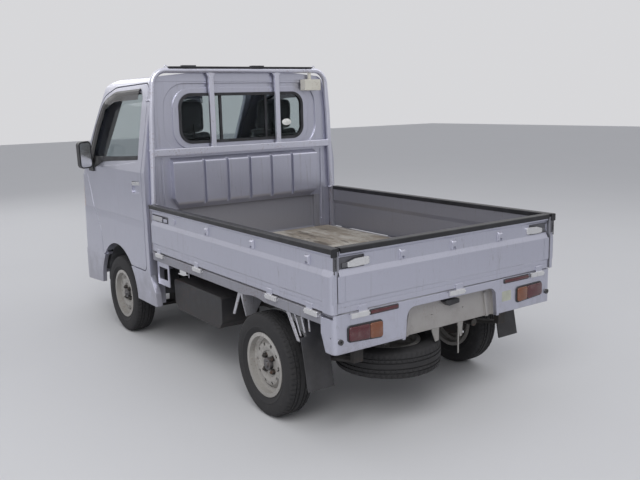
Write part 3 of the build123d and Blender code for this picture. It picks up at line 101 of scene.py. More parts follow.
class Graph:
    """Places and joins the nodes of one shader tree."""

    def __init__(self, tree: bpy.types.NodeTree) -> None:
        """Start on a tree.

        Args:
            tree: the material's tree or a group's.
        """
        self.tree = tree

    def add(self, kind: str, settings: dict | None = None, **values: object) -> bpy.types.Node:
        """Place a node.

        Args:
            kind: the node's type, without its ShaderNode prefix.
            settings: the node's own properties.
            values: links or numbers for its sockets, with _ for a space in the name.

        Returns:
            The new node.
        """
        node = self.tree.nodes.new("ShaderNode" + kind)
        for key, value in (settings or {}).items():
            setattr(node, key, value)
        for key, value in values.items():
            self.feed(node.inputs[key.replace("_", " ")], value)
        return node

    def feed(self, socket: Socket, value: object) -> None:
        """Link a socket to another one, or set its number."""
        if isinstance(value, bpy.types.NodeSocket):
            self.tree.links.new(value, socket)
        elif socket.type == "RGBA" and len(value) == 3:
            socket.default_value = (*value, 1.0)
        else:
            socket.default_value = value

    def math(self, operation: str, *values: Number) -> Socket:
        """Result of a math node."""
        node = self.add("Math", {"operation": operation})
        for socket, value in zip(node.inputs, values):
            self.feed(socket, value)
        return node.outputs[0]

    def vector(self, operation: str, *values: object) -> bpy.types.Node:
        """A vector math node."""
        node = self.add("VectorMath", {"operation": operation})
        for socket, value in zip(node.inputs, values):
            self.feed(socket, value)
        return node

    def times(self, *values: Number) -> Socket:
        """Product of all the values."""
        return reduce(lambda first, second: self.math("MULTIPLY", first, second), values)

    def most(self, *values: Number) -> Socket:
        """Largest of the values."""
        return reduce(lambda first, second: self.math("MAXIMUM", first, second), values)

    def step(self, value: Number, low: float, high: float) -> Socket:
        """Smooth rise from 0 at low to 1 at high."""
        return self.ranged(value, "From", low, high, "SMOOTHSTEP")

    def span(self, value: Number, low: float, high: float) -> Socket:
        """Line from low, where the value is 0, to high, where it is 1."""
        return self.ranged(value, "To", low, high, "LINEAR")

    def ranged(self, value: Number, ends: str, low: float, high: float, kind: str) -> Socket:
        """Map range node with its From or its To ends set."""
        node = self.add("MapRange", {"interpolation_type": kind}, Value=value)
        self.feed(node.inputs[ends + " Min"], low)
        self.feed(node.inputs[ends + " Max"], high)
        return node.outputs[0]

    def mix(self, share: Number, first: object, second: object) -> Socket:
        """Colour between two colours."""
        return self.mixed("RGBA", {0: share, 6: first, 7: second}, 2)

    def between(self, share: Number, first: Number, second: Number) -> Socket:
        """Number between two numbers."""
        return self.mixed("FLOAT", {0: share, 2: first, 3: second}, 0)

    def mixed(self, kind: str, values: dict[int, object], output: int) -> Socket:
        """One output of a mix node, whose sockets and output are told by number."""
        node = self.add("Mix", {"data_type": kind})
        for number, value in values.items():
            self.feed(node.inputs[number], value)
        return node.outputs[output]

    def place(self) -> Socket:
        """Place on the vehicle, in metres."""
        return self.add("TexCoord").outputs["Object"]

    def facing(self) -> Socket:
        """Direction of the surface, on the vehicle's own axes."""
        return self.add("TexCoord").outputs["Normal"]

    def axes(self, vector: Socket) -> tuple[Socket, Socket, Socket]:
        """The three parts of a vector."""
        outputs = self.add("SeparateXYZ", Vector=vector).outputs
        return outputs[0], outputs[1], outputs[2]

    def stretched(self, vector: Socket, x: float, y: float, z: float) -> Socket:
        """A vector scaled on each axis."""
        return self.vector("MULTIPLY", vector, (x, y, z)).outputs[0]

    def noise(self, place: Socket, scale: Number, detail: float = 3.0, rough: float = 0.55) -> Socket:
        """Cloudy noise from 0 to 1."""
        return self.add("TexNoise", Vector=place, Scale=scale, Detail=detail, Roughness=rough).outputs[0]

    def cells(self, place: Socket, scale: Number) -> bpy.types.Node:
        """Cell noise."""
        return self.add("TexVoronoi", Vector=place, Scale=scale)

    def inside(self, place: Socket, low: Point, high: Point) -> Socket:
        """1 inside a box, given for the left side and used on both, and 0 outside."""
        x, y, z = self.axes(place)
        both = self.add("CombineXYZ", X=self.math("ABSOLUTE", x), Y=y, Z=z).outputs[0]
        over = self.vector("SUBTRACT", both, high).outputs[0]
        under = self.vector("SUBTRACT", low, both).outputs[0]
        worst = self.axes(self.vector("MAXIMUM", over, under).outputs[0])
        return self.math("LESS_THAN", self.most(*worst), 0.0)

    def surface(self, colour: Socket, rough: Number, normal: Socket, **values: object) -> bpy.types.Node:
        """Principled shader. The values go to its other sockets."""
        return self.add("BsdfPrincipled", Base_Color=colour, Roughness=rough, Normal=normal, **values)

    def relief(self, height: Socket, depth: float, normal: Socket | None = None) -> Socket:
        """Normal of a surface with a relief.

        Args:
            height: the relief, from 0 to 1.
            depth: its depth in metres.
            normal: the normal below it, if any.
        """
        node = self.add("Bump", Height=height, Strength=1.0, Distance=depth)
        if normal:
            self.feed(node.inputs["Normal"], normal)
        return node.outputs[0]


class Effect(Enum):
    """Surface effects that several finishes share, each one a node group with one output."""

    EDGE_WEAR = "edge wear"
    DUST = "dust"
    STREAKS = "streaks"
    SPECKS = "specks"
    SCRATCHES = "scratches"
    SPLASH = "road splash"
    GRAIN = "grain"

    def use(self, graph: Graph, place: Socket, scale: Number, amount: Number) -> Socket:
        """Place the group in a material.

        Args:
            graph: the material's graph.
            place: the place on the vehicle.
            scale: the effect's scale, or its reach in metres.
            amount: how strong the effect is.

        Returns:
            The group's only output.
        """
        node = graph.tree.nodes.new("ShaderNodeGroup")
        node.node_tree = bpy.data.node_groups.get(self.value) or self.build()
        for socket, value in zip(node.inputs, (place, scale, amount)):
            graph.feed(socket, value)
        return node.outputs[0]

    def build(self) -> bpy.types.NodeTree:
        """Make the group, once."""
        tree = bpy.data.node_groups.new(self.value, "ShaderNodeTree")
        tree.interface.new_socket("Mask", in_out="OUTPUT", socket_type="NodeSocketFloat")
        for name, kind in (("Place", "Vector"), ("Scale", "Float"), ("Amount", "Float")):
            tree.interface.new_socket(name, in_out="INPUT", socket_type="NodeSocket" + kind)
        graph = Graph(tree)
        inputs = tree.nodes.new("NodeGroupInput").outputs
        recipe = getattr(self, "_" + self.name.lower())
        result = recipe(graph, inputs["Place"], inputs["Scale"], inputs["Amount"])
        tree.links.new(result, tree.nodes.new("NodeGroupOutput").inputs[0])
        return tree

    def _edge_wear(self, graph: Graph, place: Socket, scale: Socket, amount: Socket) -> Socket:
        """Outer edges, broken up by noise. Scale is the reach of the wear in metres."""
        bevel = graph.add("Bevel", {"samples": 4}, Radius=scale).outputs[0]
        flat = graph.add("NewGeometry").outputs["Normal"]
        turn = graph.math("SUBTRACT", 1.0, graph.vector("DOT_PRODUCT", bevel, flat).outputs["Value"])
        patches = graph.noise(place, 14.0, 4.0, 0.7)
        edge = graph.step(turn, 0.02, 0.12)
        limit = graph.math("SUBTRACT", 1.0, amount)
        broken = graph.math("GREATER_THAN", patches, graph.between(limit, 0.35, 0.75))
        return graph.times(edge, broken)

    def _dust(self, graph: Graph, place: Socket, scale: Socket, amount: Socket) -> Socket:
        """Dust on faces that look up."""
        up = graph.axes(graph.facing())[2]
        cloud = graph.noise(place, scale, 5.0, 0.65)
        return graph.times(graph.step(up, 0.25, 0.95), graph.span(cloud, 0.5, 1.0), amount)

    def _streaks(self, graph: Graph, place: Socket, scale: Socket, amount: Socket) -> Socket:
        """Marks that run down an upright face."""
        long = graph.stretched(place, 1.0, 1.0, 0.07)
        lines = graph.noise(long, scale, 3.0, 0.6)
        patches = graph.noise(place, 3.1, 2.0)
        return graph.times(graph.step(lines, 0.55, 0.72), graph.step(patches, 0.42, 0.66), amount)

    def _specks(self, graph: Graph, place: Socket, scale: Socket, amount: Socket) -> Socket:
        """Small round spots, in patches."""
        cell = graph.cells(place, scale)
        size = graph.axes(cell.outputs["Color"])[0]
        spot = graph.math("LESS_THAN", cell.outputs["Distance"], graph.times(size, amount))
        return graph.times(spot, graph.step(graph.noise(place, 7.0, 3.0), 0.45, 0.6))

    def _scratches(self, graph: Graph, place: Socket, scale: Socket, amount: Socket) -> Socket:
        """Thin lines in several directions."""
        result = None
        for turn in ((0.3, 0.1, 0.7), (1.2, 0.5, 2.1), (2.4, 1.4, 0.2)):
            node = graph.add("Mapping", Vector=place, Rotation=turn, Scale=(1.0, 1.0, 0.04))
            waves = graph.noise(node.outputs[0], scale, 1.0)
            off = graph.math("ABSOLUTE", graph.math("SUBTRACT", waves, 0.5))
            line = graph.math("LESS_THAN", off, 0.0025)
            result = line if result is None else graph.most(result, line)
        return graph.times(result, graph.step(graph.noise(place, 5.0, 3.0), 0.4, 0.65), amount)

    def _splash(self, graph: Graph, place: Socket, scale: Socket, amount: Socket) -> Socket:
        """Road dirt that thins out upwards. Scale is the height that it reaches, in metres."""
        z = graph.axes(place)[2]
        share = graph.math("DIVIDE", z, scale)
        cloud = graph.noise(place, 9.0, 5.0, 0.7)
        low = graph.math("SUBTRACT", graph.math("ADD", cloud, 0.5), share)
        return graph.times(graph.step(low, 0.0, 0.55), amount)

    def _grain(self, graph: Graph, place: Socket, scale: Socket, amount: Socket) -> Socket:
        """Fine grain of two sizes."""
        fine = graph.noise(place, scale, 2.0)
        coarse = graph.noise(place, graph.math("MULTIPLY", scale, 0.23), 2.0)
        return graph.times(graph.between(0.4, fine, coarse), amount)


MATERIALS: dict[object, bpy.types.Material] = {}


def scaled(colour: Colour, factor: float) -> Colour:
    """A colour made darker or lighter."""
    return tuple(part * factor for part in colour)


@dataclass(frozen=True)
class Finish:
    """A surface finish. Each kind fills in its own shader."""

    name: str

    def material(self) -> bpy.types.Material:
        """The finish's material, made once."""
        if self not in MATERIALS:
            material = bpy.data.materials.new(self.name)
            material.use_nodes = True
            tree = material.node_tree
            tree.nodes.clear()
            graph = Graph(tree)
            output = tree.nodes.new("ShaderNodeOutputMaterial")
            tree.links.new(self.shade(graph).outputs[0], output.inputs[0])
            MATERIALS[self] = material
        return MATERIALS[self]

    def shade(self, graph: Graph) -> bpy.types.Node:
        """Place the shader that ends the material."""
        raise NotImplementedError


@dataclass(frozen=True)
class Region:
    """A box on the vehicle's left side, and its mirror image, with a finish of its own: some boxes hold a
    fitting's colour, others painted shade.
    """

    low: Point
    high: Point
    colour: Colour
    metallic: float = 0.9
    rough: float = 0.35


@dataclass(frozen=True)
class Paint(Finish):
    """Paint on sheet metal, with dust, splash, scratches, worn edges and rust."""

    colour: Colour
    metallic: float = 0.85
    rough: float = 0.30
    coat: float = 0.6
    dust: float = 0.12
    splash: float = 0.35
    splash_height: float = 0.6
    scratches: float = 0.12
    wear: float = 0.12
    rust: float = 0.03
    grime: float = 0.12
    regions: tuple[Region, ...] = ()
    mud: Colour = (0.16, 0.145, 0.13)
    ease: float = 0.006

    DUST_COLOUR = (0.34, 0.32, 0.30)
    RUST_COLOUR = (0.15, 0.055, 0.022)
    BARE_COLOUR = (0.20, 0.19, 0.185)
    FLAKE_SCALE = 900.0
    STREAK_SCALE = 38.0
    SCRATCH_SCALE = 24.0
    WEAR_REACH = 0.0035
    SPECK_SCALE = 95.0
    SPECK_SIZE = 0.55
    DUST_SCALE = 17.0
    DULL_ROUGH = 0.85
    PEEL_SCALE = 260.0
    PEEL_DEPTH = 0.00006
    MARK_DEPTH = 0.0002
    COAT_ROUGH = 0.07

    def shade(self, graph: Graph) -> bpy.types.Node:
        """Place the shader that ends the material."""
        place = graph.place()
        cloud = graph.noise(place, 2.3, 4.0)
        flake = graph.noise(place, self.FLAKE_SCALE, 1.0)
        dark = scaled(self.colour, 0.93)
        colour = graph.mix(cloud, dark, self.colour)
        bright = tuple(min(part * 1.16, 1.0) for part in self.colour)
        colour = graph.mix(graph.step(flake, 0.55, 0.75), colour, bright)
        rough = graph.span(graph.noise(place, 6.0, 4.0), self.rough - 0.05, self.rough + 0.09)
        metallic: Number = self.metallic
        for region in self.regions:
            inside = graph.inside(place, region.low, region.high)
            colour = graph.mix(inside, colour, region.colour)
            rough = graph.between(inside, rough, region.rough)
            metallic = graph.between(inside, metallic, region.metallic)
        streaks = Effect.STREAKS.use(graph, place, self.STREAK_SCALE, self.grime)
        colour = graph.mix(streaks, colour, self.mud)
        scratches = Effect.SCRATCHES.use(graph, place, self.SCRATCH_SCALE, self.scratches)
        colour = graph.mix(scratches, colour, self.BARE_COLOUR)
        worn = Effect.EDGE_WEAR.use(graph, place, self.WEAR_REACH, self.wear)
        colour = graph.mix(graph.times(worn, 0.8), colour, self.BARE_COLOUR)
        specks = Effect.SPECKS.use(graph, place, self.SPECK_SCALE, self.SPECK_SIZE)
        rust = graph.times(specks, self.rust)
        colour = graph.mix(rust, colour, self.RUST_COLOUR)
        splash = Effect.SPLASH.use(graph, place, self.splash_height, self.splash)
        colour = graph.mix(splash, colour, self.mud)
        dust = Effect.DUST.use(graph, place, self.DUST_SCALE, self.dust)
        colour = graph.mix(dust, colour, self.DUST_COLOUR)
        dull = graph.most(dust, splash, rust, streaks)
        rough = graph.between(dull, rough, self.DULL_ROUGH)
        clean = graph.math("SUBTRACT", 1.0, dull)
        metallic = graph.times(metallic, clean)
        coat = graph.times(clean, self.coat)
        peel = graph.noise(place, self.PEEL_SCALE, 2.0)
        eased = graph.add("Bevel", {"samples": 6}, Radius=self.ease).outputs[0]
        normal = graph.relief(peel, self.PEEL_DEPTH, eased)
        normal = graph.relief(graph.math("ADD", scratches, rust), self.MARK_DEPTH, normal)
        return graph.surface(colour, rough, normal, Metallic=metallic, Coat_Weight=coat,
                             Coat_Roughness=self.COAT_ROUGH)


@dataclass(frozen=True)
class Rubber(Finish):
    """Black rubber or moulded plastic, greyed by dust."""

    colour: Colour = (0.018, 0.018, 0.020)
    rough: float = 0.72
    grain_scale: float = 420.0
    grain_depth: float = 0.00022
    dust: float = 0.35
    splash: float = 0.3
    splash_height: float = 0.6
    dust_colour: Colour = (0.13, 0.125, 0.12)

    def shade(self, graph: Graph) -> bpy.types.Node:
        """Place the shader that ends the material."""
        place = graph.place()
        faded = tuple(part * 2.1 + 0.006 for part in self.colour)
        colour = graph.mix(graph.step(graph.noise(place, 11.0, 5.0), 0.35, 0.75), self.colour, faded)
        dust = Effect.DUST.use(graph, place, 23.0, self.dust)
        splash = Effect.SPLASH.use(graph, place, self.splash_height, self.splash)
        dull = graph.most(dust, splash)
        colour = graph.mix(dull, colour, self.dust_colour)
        grain = Effect.GRAIN.use(graph, place, self.grain_scale, 1.0)
        rough = graph.between(dull, graph.span(grain, self.rough - 0.12, self.rough + 0.08), 0.93)
        return graph.surface(colour, rough, graph.relief(grain, self.grain_depth))


@dataclass(frozen=True)
class Tread(Finish):
    """Tyre rubber: clouded black with paler dirt in patches."""

    colour: Colour = (0.013, 0.013, 0.015)

    WORN_COLOUR = (0.027, 0.026, 0.027)
    DIRT_COLOUR = (0.075, 0.069, 0.065)
    GRAIN_SCALE = 600.0
    GRAIN_DEPTH = 0.0003

    def shade(self, graph: Graph) -> bpy.types.Node:
        """Place the shader that ends the material."""
        place = graph.place()
        cloud = graph.noise(place, 13.0, 5.0)
        colour = graph.mix(cloud, self.colour, self.WORN_COLOUR)
        dirt = graph.step(graph.noise(place, 34.0, 5.0, 0.7), 0.50, 0.78)
        colour = graph.mix(graph.times(dirt, 0.25), colour, self.DIRT_COLOUR)
        grain = Effect.GRAIN.use(graph, place, self.GRAIN_SCALE, 1.0)
        rough = graph.span(cloud, 0.72, 0.92)
        return graph.surface(colour, rough, graph.relief(grain, self.GRAIN_DEPTH))


@dataclass(frozen=True)
class Metal(Finish):
    """Bare or plated metal, with rust in patches."""

    colour: Colour = (0.45, 0.44, 0.42)
    rough: float = 0.38
    rust: float = 0.3

    DARK_RUST = (0.09, 0.035, 0.018)
    LIGHT_RUST = (0.21, 0.09, 0.04)
    GRAIN_SCALE = 350.0
    GRAIN_DEPTH = 0.00018

    def shade(self, graph: Graph) -> bpy.types.Node:
        """Place the shader that ends the material."""
        place = graph.place()
        cloud = graph.noise(place, 19.0, 5.0, 0.65)
        dark = scaled(self.colour, 0.72)
        colour = graph.mix(cloud, dark, self.colour)
        rust = graph.times(graph.step(graph.noise(place, 46.0, 6.0, 0.75), 0.52, 0.70), self.rust)
        colour = graph.mix(rust, colour, graph.mix(cloud, self.DARK_RUST, self.LIGHT_RUST))
        rough = graph.between(rust, graph.span(cloud, self.rough - 0.08, self.rough + 0.12), 0.9)
        grain = Effect.GRAIN.use(graph, place, self.GRAIN_SCALE, 1.0)
        metallic = graph.span(rust, 0.95, 0.1)
        return graph.surface(colour, rough, graph.relief(grain, self.GRAIN_DEPTH), Metallic=metallic)


@dataclass(frozen=True)
class Glass(Finish):
    """Thin vehicle glass with a slight tint and wiped dust."""

    tint: Colour = (0.80, 0.86, 0.85)
    dust: float = 0.06

    FILM_COLOUR = (0.55, 0.55, 0.54)
    IOR = 1.12
    WAVE_DEPTH = 0.0004

    def shade(self, graph: Graph) -> bpy.types.Node:
        """Place the shader that ends the material."""
        place = graph.place()
        smear = graph.step(graph.noise(graph.stretched(place, 1.0, 1.0, 0.5), 9.0, 5.0, 0.7), 0.35, 0.85)
        rough = graph.span(smear, 0.01, 0.05 + self.dust)
        film = graph.mix(graph.times(smear, self.dust), self.tint, self.FILM_COLOUR)
        wave = graph.noise(place, 5.0, 1.0)
        return graph.surface(film, rough, graph.relief(wave, self.WAVE_DEPTH), IOR=self.IOR,
                             Transmission_Weight=1.0)


@dataclass(frozen=True)
class Lens(Finish):
    """Coloured lamp lens, ribbed on the inside."""

    colour: Colour = (0.32, 0.012, 0.012)
    rib_pitch: float = 0.006
    glow: float = 0.02

    DUST_COLOUR = (0.30, 0.26, 0.24)
    ROW_PITCH = 1.6
    RIB_DEPTH = 0.0006

    def shade(self, graph: Graph) -> bpy.types.Node:
        """Place the shader that ends the material."""
        place = graph.place()
        x, _, z = graph.axes(place)
        across = graph.math("SINE", graph.times(x, tau / self.rib_pitch))
        rows = graph.math("SINE", graph.times(z, tau / (self.rib_pitch * self.ROW_PITCH)))
        ribs = graph.span(graph.math("ADD", across, graph.times(rows, 0.6)), 0.5, 0.8)
        dark = scaled(self.colour, 0.45)
        colour = graph.mix(ribs, dark, self.colour)
        dust = graph.times(graph.step(graph.noise(place, 26.0, 5.0), 0.45, 0.8), 0.18)
        colour = graph.mix(dust, colour, self.DUST_COLOUR)
        rough = graph.span(dust, 0.13, 0.8)
        return graph.surface(colour, rough, graph.relief(ribs, self.RIB_DEPTH), Coat_Weight=0.7,
                             Coat_Roughness=0.06, Emission_Color=colour, Emission_Strength=self.glow)


@dataclass(frozen=True)
class Cloth(Finish):
    """Woven seat cloth."""

    colour: Colour = (0.035, 0.036, 0.040)
    pitch: float = 0.0022

    WORN_COLOUR = (0.12, 0.118, 0.115)
    WEAVE_DEPTH = 0.0005

    def shade(self, graph: Graph) -> bpy.types.Node:
        """Place the shader that ends the material."""
        place = graph.place()
        x, y, z = graph.axes(place)
        length = graph.math("ADD", y, z)
        warp = graph.math("SINE", graph.times(x, tau / self.pitch))
        weft = graph.math("SINE", graph.times(length, tau / self.pitch))
        weave = graph.span(graph.times(warp, weft), 0.5, 1.0)
        light = scaled(self.colour, 1.9)
        colour = graph.mix(weave, self.colour, light)
        worn = graph.step(graph.noise(place, 8.0, 4.0), 0.45, 0.8)
        colour = graph.mix(graph.times(worn, 0.35), colour, self.WORN_COLOUR)
        return graph.surface(colour, 0.93, graph.relief(weave, self.WEAVE_DEPTH), Sheen_Weight=0.35,
                             Sheen_Roughness=0.5)


@dataclass(frozen=True)
class Plywood(Finish):
    """Worn plywood: pale grain, dusty light patches and dark stains."""

    colour: Colour = (0.34, 0.30, 0.25)

    GRAIN_COLOUR = (0.19, 0.16, 0.125)
    DUST_COLOUR = (0.50, 0.475, 0.43)
    STAIN_COLOUR = (0.075, 0.06, 0.048)
    SCRATCH_COLOUR = (0.42, 0.38, 0.33)
    PATCH_SHARE = 0.85
    RELIEF_DEPTH = 0.0009

    def shade(self, graph: Graph) -> bpy.types.Node:
        """Place the shader that ends the material."""
        place = graph.place()
        warp = graph.add("TexNoise", Vector=place, Scale=2.2).outputs["Color"]
        bend = graph.stretched(warp, 0.05, 0.05, 0.0)
        bent = graph.vector("ADD", graph.stretched(place, 1.0, 0.05, 1.0), bend).outputs[0]
        grain = graph.noise(bent, 90.0, 5.0, 0.65)
        colour = graph.mix(grain, self.GRAIN_COLOUR, self.colour)
        dusty = graph.step(graph.noise(graph.stretched(place, 1.0, 0.30, 1.0), 8.5, 6.0, 0.72), 0.42, 0.60)
        colour = graph.mix(graph.times(dusty, self.PATCH_SHARE), colour, self.DUST_COLOUR)
        stain = graph.step(graph.noise(graph.stretched(place, 1.0, 0.22, 1.0), 12.5, 5.0, 0.66), 0.54, 0.66)
        colour = graph.mix(graph.times(stain, self.PATCH_SHARE), colour, self.STAIN_COLOUR)
        scratches = Effect.SCRATCHES.use(graph, place, 18.0, 0.7)
        colour = graph.mix(scratches, colour, self.SCRATCH_COLOUR)
        height = graph.math("SUBTRACT", grain, graph.math("ADD", graph.times(stain, 0.5), scratches))
        rough = graph.span(grain, 0.78, 0.95)
        return graph.surface(colour, rough, graph.relief(height, self.RELIEF_DEPTH))


@dataclass(frozen=True)
class StageFinish(Finish):
    """Pale floor."""

    colour: Colour = (0.62, 0.62, 0.63)

    def shade(self, graph: Graph) -> bpy.types.Node:
        """Place the shader that ends the material."""
        place = graph.place()
        cloud = graph.noise(place, 0.9, 5.0)
        colour = graph.mix(cloud, scaled(self.colour, 0.96), self.colour)
        return graph.add("BsdfPrincipled", Base_Color=colour, Roughness=0.75)


def linked(name: str, data: bpy.types.ID) -> bpy.types.Object:
    """Make an object and put it in the scene."""
    made = bpy.data.objects.new(name, data)
    bpy.context.scene.collection.objects.link(made)
    return made


def meshed(name: str, points: Iterable[Sequence[float]], faces: Iterable[Sequence[int]]) -> bpy.types.Mesh:
    """Make a mesh of points and of faces, which tell their corners by number."""
    mesh = bpy.data.meshes.new(name)
    mesh.from_pydata([tuple(point) for point in points], [], [tuple(face) for face in faces])
    return mesh


def dress(finish: Finish, *names: str) -> None:
    """Give CAD nodes a finish."""
    for name in names:
        for slot in NODES[name].material_slots:
            slot.material = finish.material()


def new_piece(name: str, points: Line, faces: Sequence[Sequence[int]], finish: Finish,
              body: str, smooth: float) -> bpy.types.Object:
    """Make a mesh piece that rides on a body.

    Args:
        name: the piece's name.
        points: its corners, in metres on the vehicle.
        faces: the faces' corners by number.
        finish: its finish.
        body: the body that carries it.
        smooth: edges that turn less than this many degrees are shaded smooth.

    Returns:
        The new object.
    """
    return piece_of(meshed(name, points, faces), name, finish, body, smooth)


def piece_of(mesh: bpy.types.Mesh, name: str, finish: Finish, body: str,
             smooth: float) -> bpy.types.Object:
    """Make a piece of a finished mesh. The arguments are those of new_piece."""
    shape = bmesh.new()
    shape.from_mesh(mesh)
    bmesh.ops.recalc_face_normals(shape, faces=shape.faces)
    for face in shape.faces:
        face.smooth = True
    limit = radians(smooth)
    for edge in shape.edges:
        edge.smooth = len(edge.link_faces) == 2 and edge.calc_face_angle(0.0) < limit
    shape.to_mesh(mesh)
    shape.free()
    mesh.materials.append(finish.material())
    piece = linked(name, mesh)
    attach(piece, body)
    LOG.info("%s: %d faces on %s", name, len(mesh.polygons), body)
    return piece


class Shape:
    """Collects the points and faces of one piece that is made of many parts."""

    def __init__(self) -> None:
        """Start empty."""
        self.points: list[Vector] = []
        self.faces: list[tuple[int, ...]] = []

    def take(self, points: Iterable[Sequence[float]], faces: Iterable[Sequence[int]]) -> "Shape":
        """Add a part."""
        start = len(self.points)
        self.points += [Vector(point) for point in points]
        self.faces += [tuple(start + number for number in face) for face in faces]
        return self

    def rings(self, rings: Sequence[Line], round_: bool = False) -> "Shape":
        """Skin a row of closed rings that have the same number of points.

        Args:
            rings: the rings of points.
            round_: whether the last ring joins the first. If not, the two end rings are filled.
        """
        count = len(rings[0])
        points = [point for ring in rings for point in ring]
        faces = []
        for row in range(len(rings) if round_ else len(rings) - 1):
            here = row * count
            there = (row + 1) % len(rings) * count
            for k in range(count):
                after = (k + 1) % count
                faces.append((here + k, here + after, there + after, there + k))
        if not round_:
            faces.append(tuple(range(count)))
            faces.append(tuple((len(rings) - 1) * count + k for k in range(count)))
        return self.take(points, faces)

    def turned(self, profile: Outline, centre: Point, axis: str, count: int = 24) -> "Shape":
        """Turn a profile about an axis.

        Args:
            profile: (place along the axis, radius) pairs.
            centre: a point on the axis.
            axis: X, Y or Z.
            count: steps round.
        """
        rings = []
        for run, r in profile:
            ring = []
            for k in range(count):
                a, b = r * cos(tau * k / count), r * sin(tau * k / count)
                offset = {"X": (run, a, b), "Y": (a, run, b), "Z": (a, b, run)}[axis]
                ring.append(Vector(centre) + Vector(offset))
            rings.append(ring)
        return self.rings(rings)

    def tube(self, path: Line, r: float, count: int = 10, closed: bool = False) -> "Shape":
        """Round bar along points."""
        line = [Vector(point) for point in path]
        rings = []
        side = None
        for k, point in enumerate(line):
            before = line[k - 1] if k or closed else point
            after = line[(k + 1) % len(line)] if k + 1 < len(line) or closed else point
            ahead = (after - before).normalized()
            if side is None:
                side = ahead.orthogonal().normalized()
            side = (side - ahead * side.dot(ahead)).normalized()
            over = ahead.cross(side)
            rings.append([point + side * r * cos(tau * n / count) + over * r * sin(tau * n / count)
                          for n in range(count)])
        return self.rings(rings, round_=closed)

    def box(self, low: Sequence[float], high: Sequence[float], edge: float = 0.001) -> "Shape":
        """Block with bevelled edges."""
        shape = bmesh.new()
        bmesh.ops.create_cube(shape, size=1.0)
        size = Vector(high) - Vector(low)
        middle = (Vector(high) + Vector(low)) / 2
        for point in shape.verts:
            point.co = Vector([part * length for part, length in zip(point.co, size)]) + middle
        if edge:
            bmesh.ops.bevel(shape, geom=list(shape.edges), offset=min(edge, min(size) * 0.45), segments=2,
                            affect="EDGES", profile=0.6)
        shape.verts.index_update()
        self.take([point.co.copy() for point in shape.verts],
                  [[point.index for point in face.verts] for face in shape.faces])
        shape.free()
        return self

    def plate(self, outline: Outline, low: float, high: float, axis: str = "Y") -> "Shape":
        """Outline carried along an axis.

        Args:
            outline: corners, as (y, z) for axis X, (x, z) for Y and (x, y) for Z.
            low: where it starts on the axis.
            high: where it ends.
            axis: X, Y or Z.
        """
        def at(a: float, b: float, run: float) -> Point:
            """A corner's place on the vehicle."""
            return {"X": (run, a, b), "Y": (a, run, b), "Z": (a, b, run)}[axis]
        return self.rings([[at(a, b, run) for a, b in outline] for run in (low, high)])

    def hexagon(self, centre: Point, axis: str, low: float, high: float, r: float) -> "Shape":
        """Hexagon nut or bolt head along an axis, with its corners eased."""
        ease = min(0.0012, (high - low) * 0.3)
        profile = [(low, r), (high - ease, r), (high, r * 0.90)]
        return self.turned(profile, centre, axis, 6)

    def mirrored(self) -> "Shape":
        """The same shape on the other side of the vehicle."""
        other = Shape()
        return other.take([(-p.x, p.y, p.z) for p in self.points], [face[::-1] for face in self.faces])

    def moved(self, x: float = 0.0, y: float = 0.0, z: float = 0.0) -> "Shape":
        """The same shape elsewhere."""
        return Shape().take([p + Vector((x, y, z)) for p in self.points], self.faces)

    def piece(self, name: str, finish: Finish, body: str = "truck", smooth: float = 40.0) -> bpy.types.Object:
        """Make the collected parts one piece."""
        return new_piece(name, self.points, self.faces, finish, body, smooth)


def rounded(low_a: float, high_a: float, low_b: float, high_b: float, r: float) -> list:
    """Points of a rectangle with rounded corners."""
    count = 5
    corners = ((high_a - r, high_b - r, 0), (low_a + r, high_b - r, 1), (low_a + r, low_b + r, 2),
               (high_a - r, low_b + r, 3))
    return [(a + r * cos(pi / 2 * (quarter + k / count)), b + r * sin(pi / 2 * (quarter + k / count)))
            for a, b, quarter in corners for k in range(count + 1)]


def filleted(corners: Outline, radii: Sequence[float] | float,
             count: int = 6) -> list[tuple[float, float]]:
    """Closed outline with an arc at each corner.

    Args:
        corners: the outline's (a, b) corners in order.
        radii: the arcs' radii, or one for all.
        count: straight runs in each arc.

    Returns:
        The points of the rounded outline, in the same order.
    """
    if isinstance(radii, float):
        radii = [radii] * len(corners)
    made = []
    for k, (corner, r) in enumerate(zip(corners, radii)):
        here = Vector(corner)
        before = (Vector(corners[k - 1]) - here).normalized()
        after = (Vector(corners[(k + 1) % len(corners)]) - here).normalized()
        half = before.angle(after) / 2
        centre = here + (before + after).normalized() * (r / sin(half))
        start = here + before * (r / tan(half)) - centre
        end = here + after * (r / tan(half)) - centre
        for n in range(count + 1):
            spoke = start.lerp(end, n / count).normalized() * r
            made.append(tuple(centre + spoke))
    return made


def along(line: Line, share: float) -> Vector:
    """Place on a line of points, at a share of its length."""
    points = [Vector(point) for point in line]
    steps = [(b - a).length for a, b in zip(points, points[1:])]
    left = min(max(share, 0.0), 1.0) * sum(steps)
    for point, after, step in zip(points, points[1:], steps):
        if left <= step or after is points[-1]:
            return point.lerp(after, min(left / max(step, 1e-9), 1.0))
        left -= step
    return points[-1]


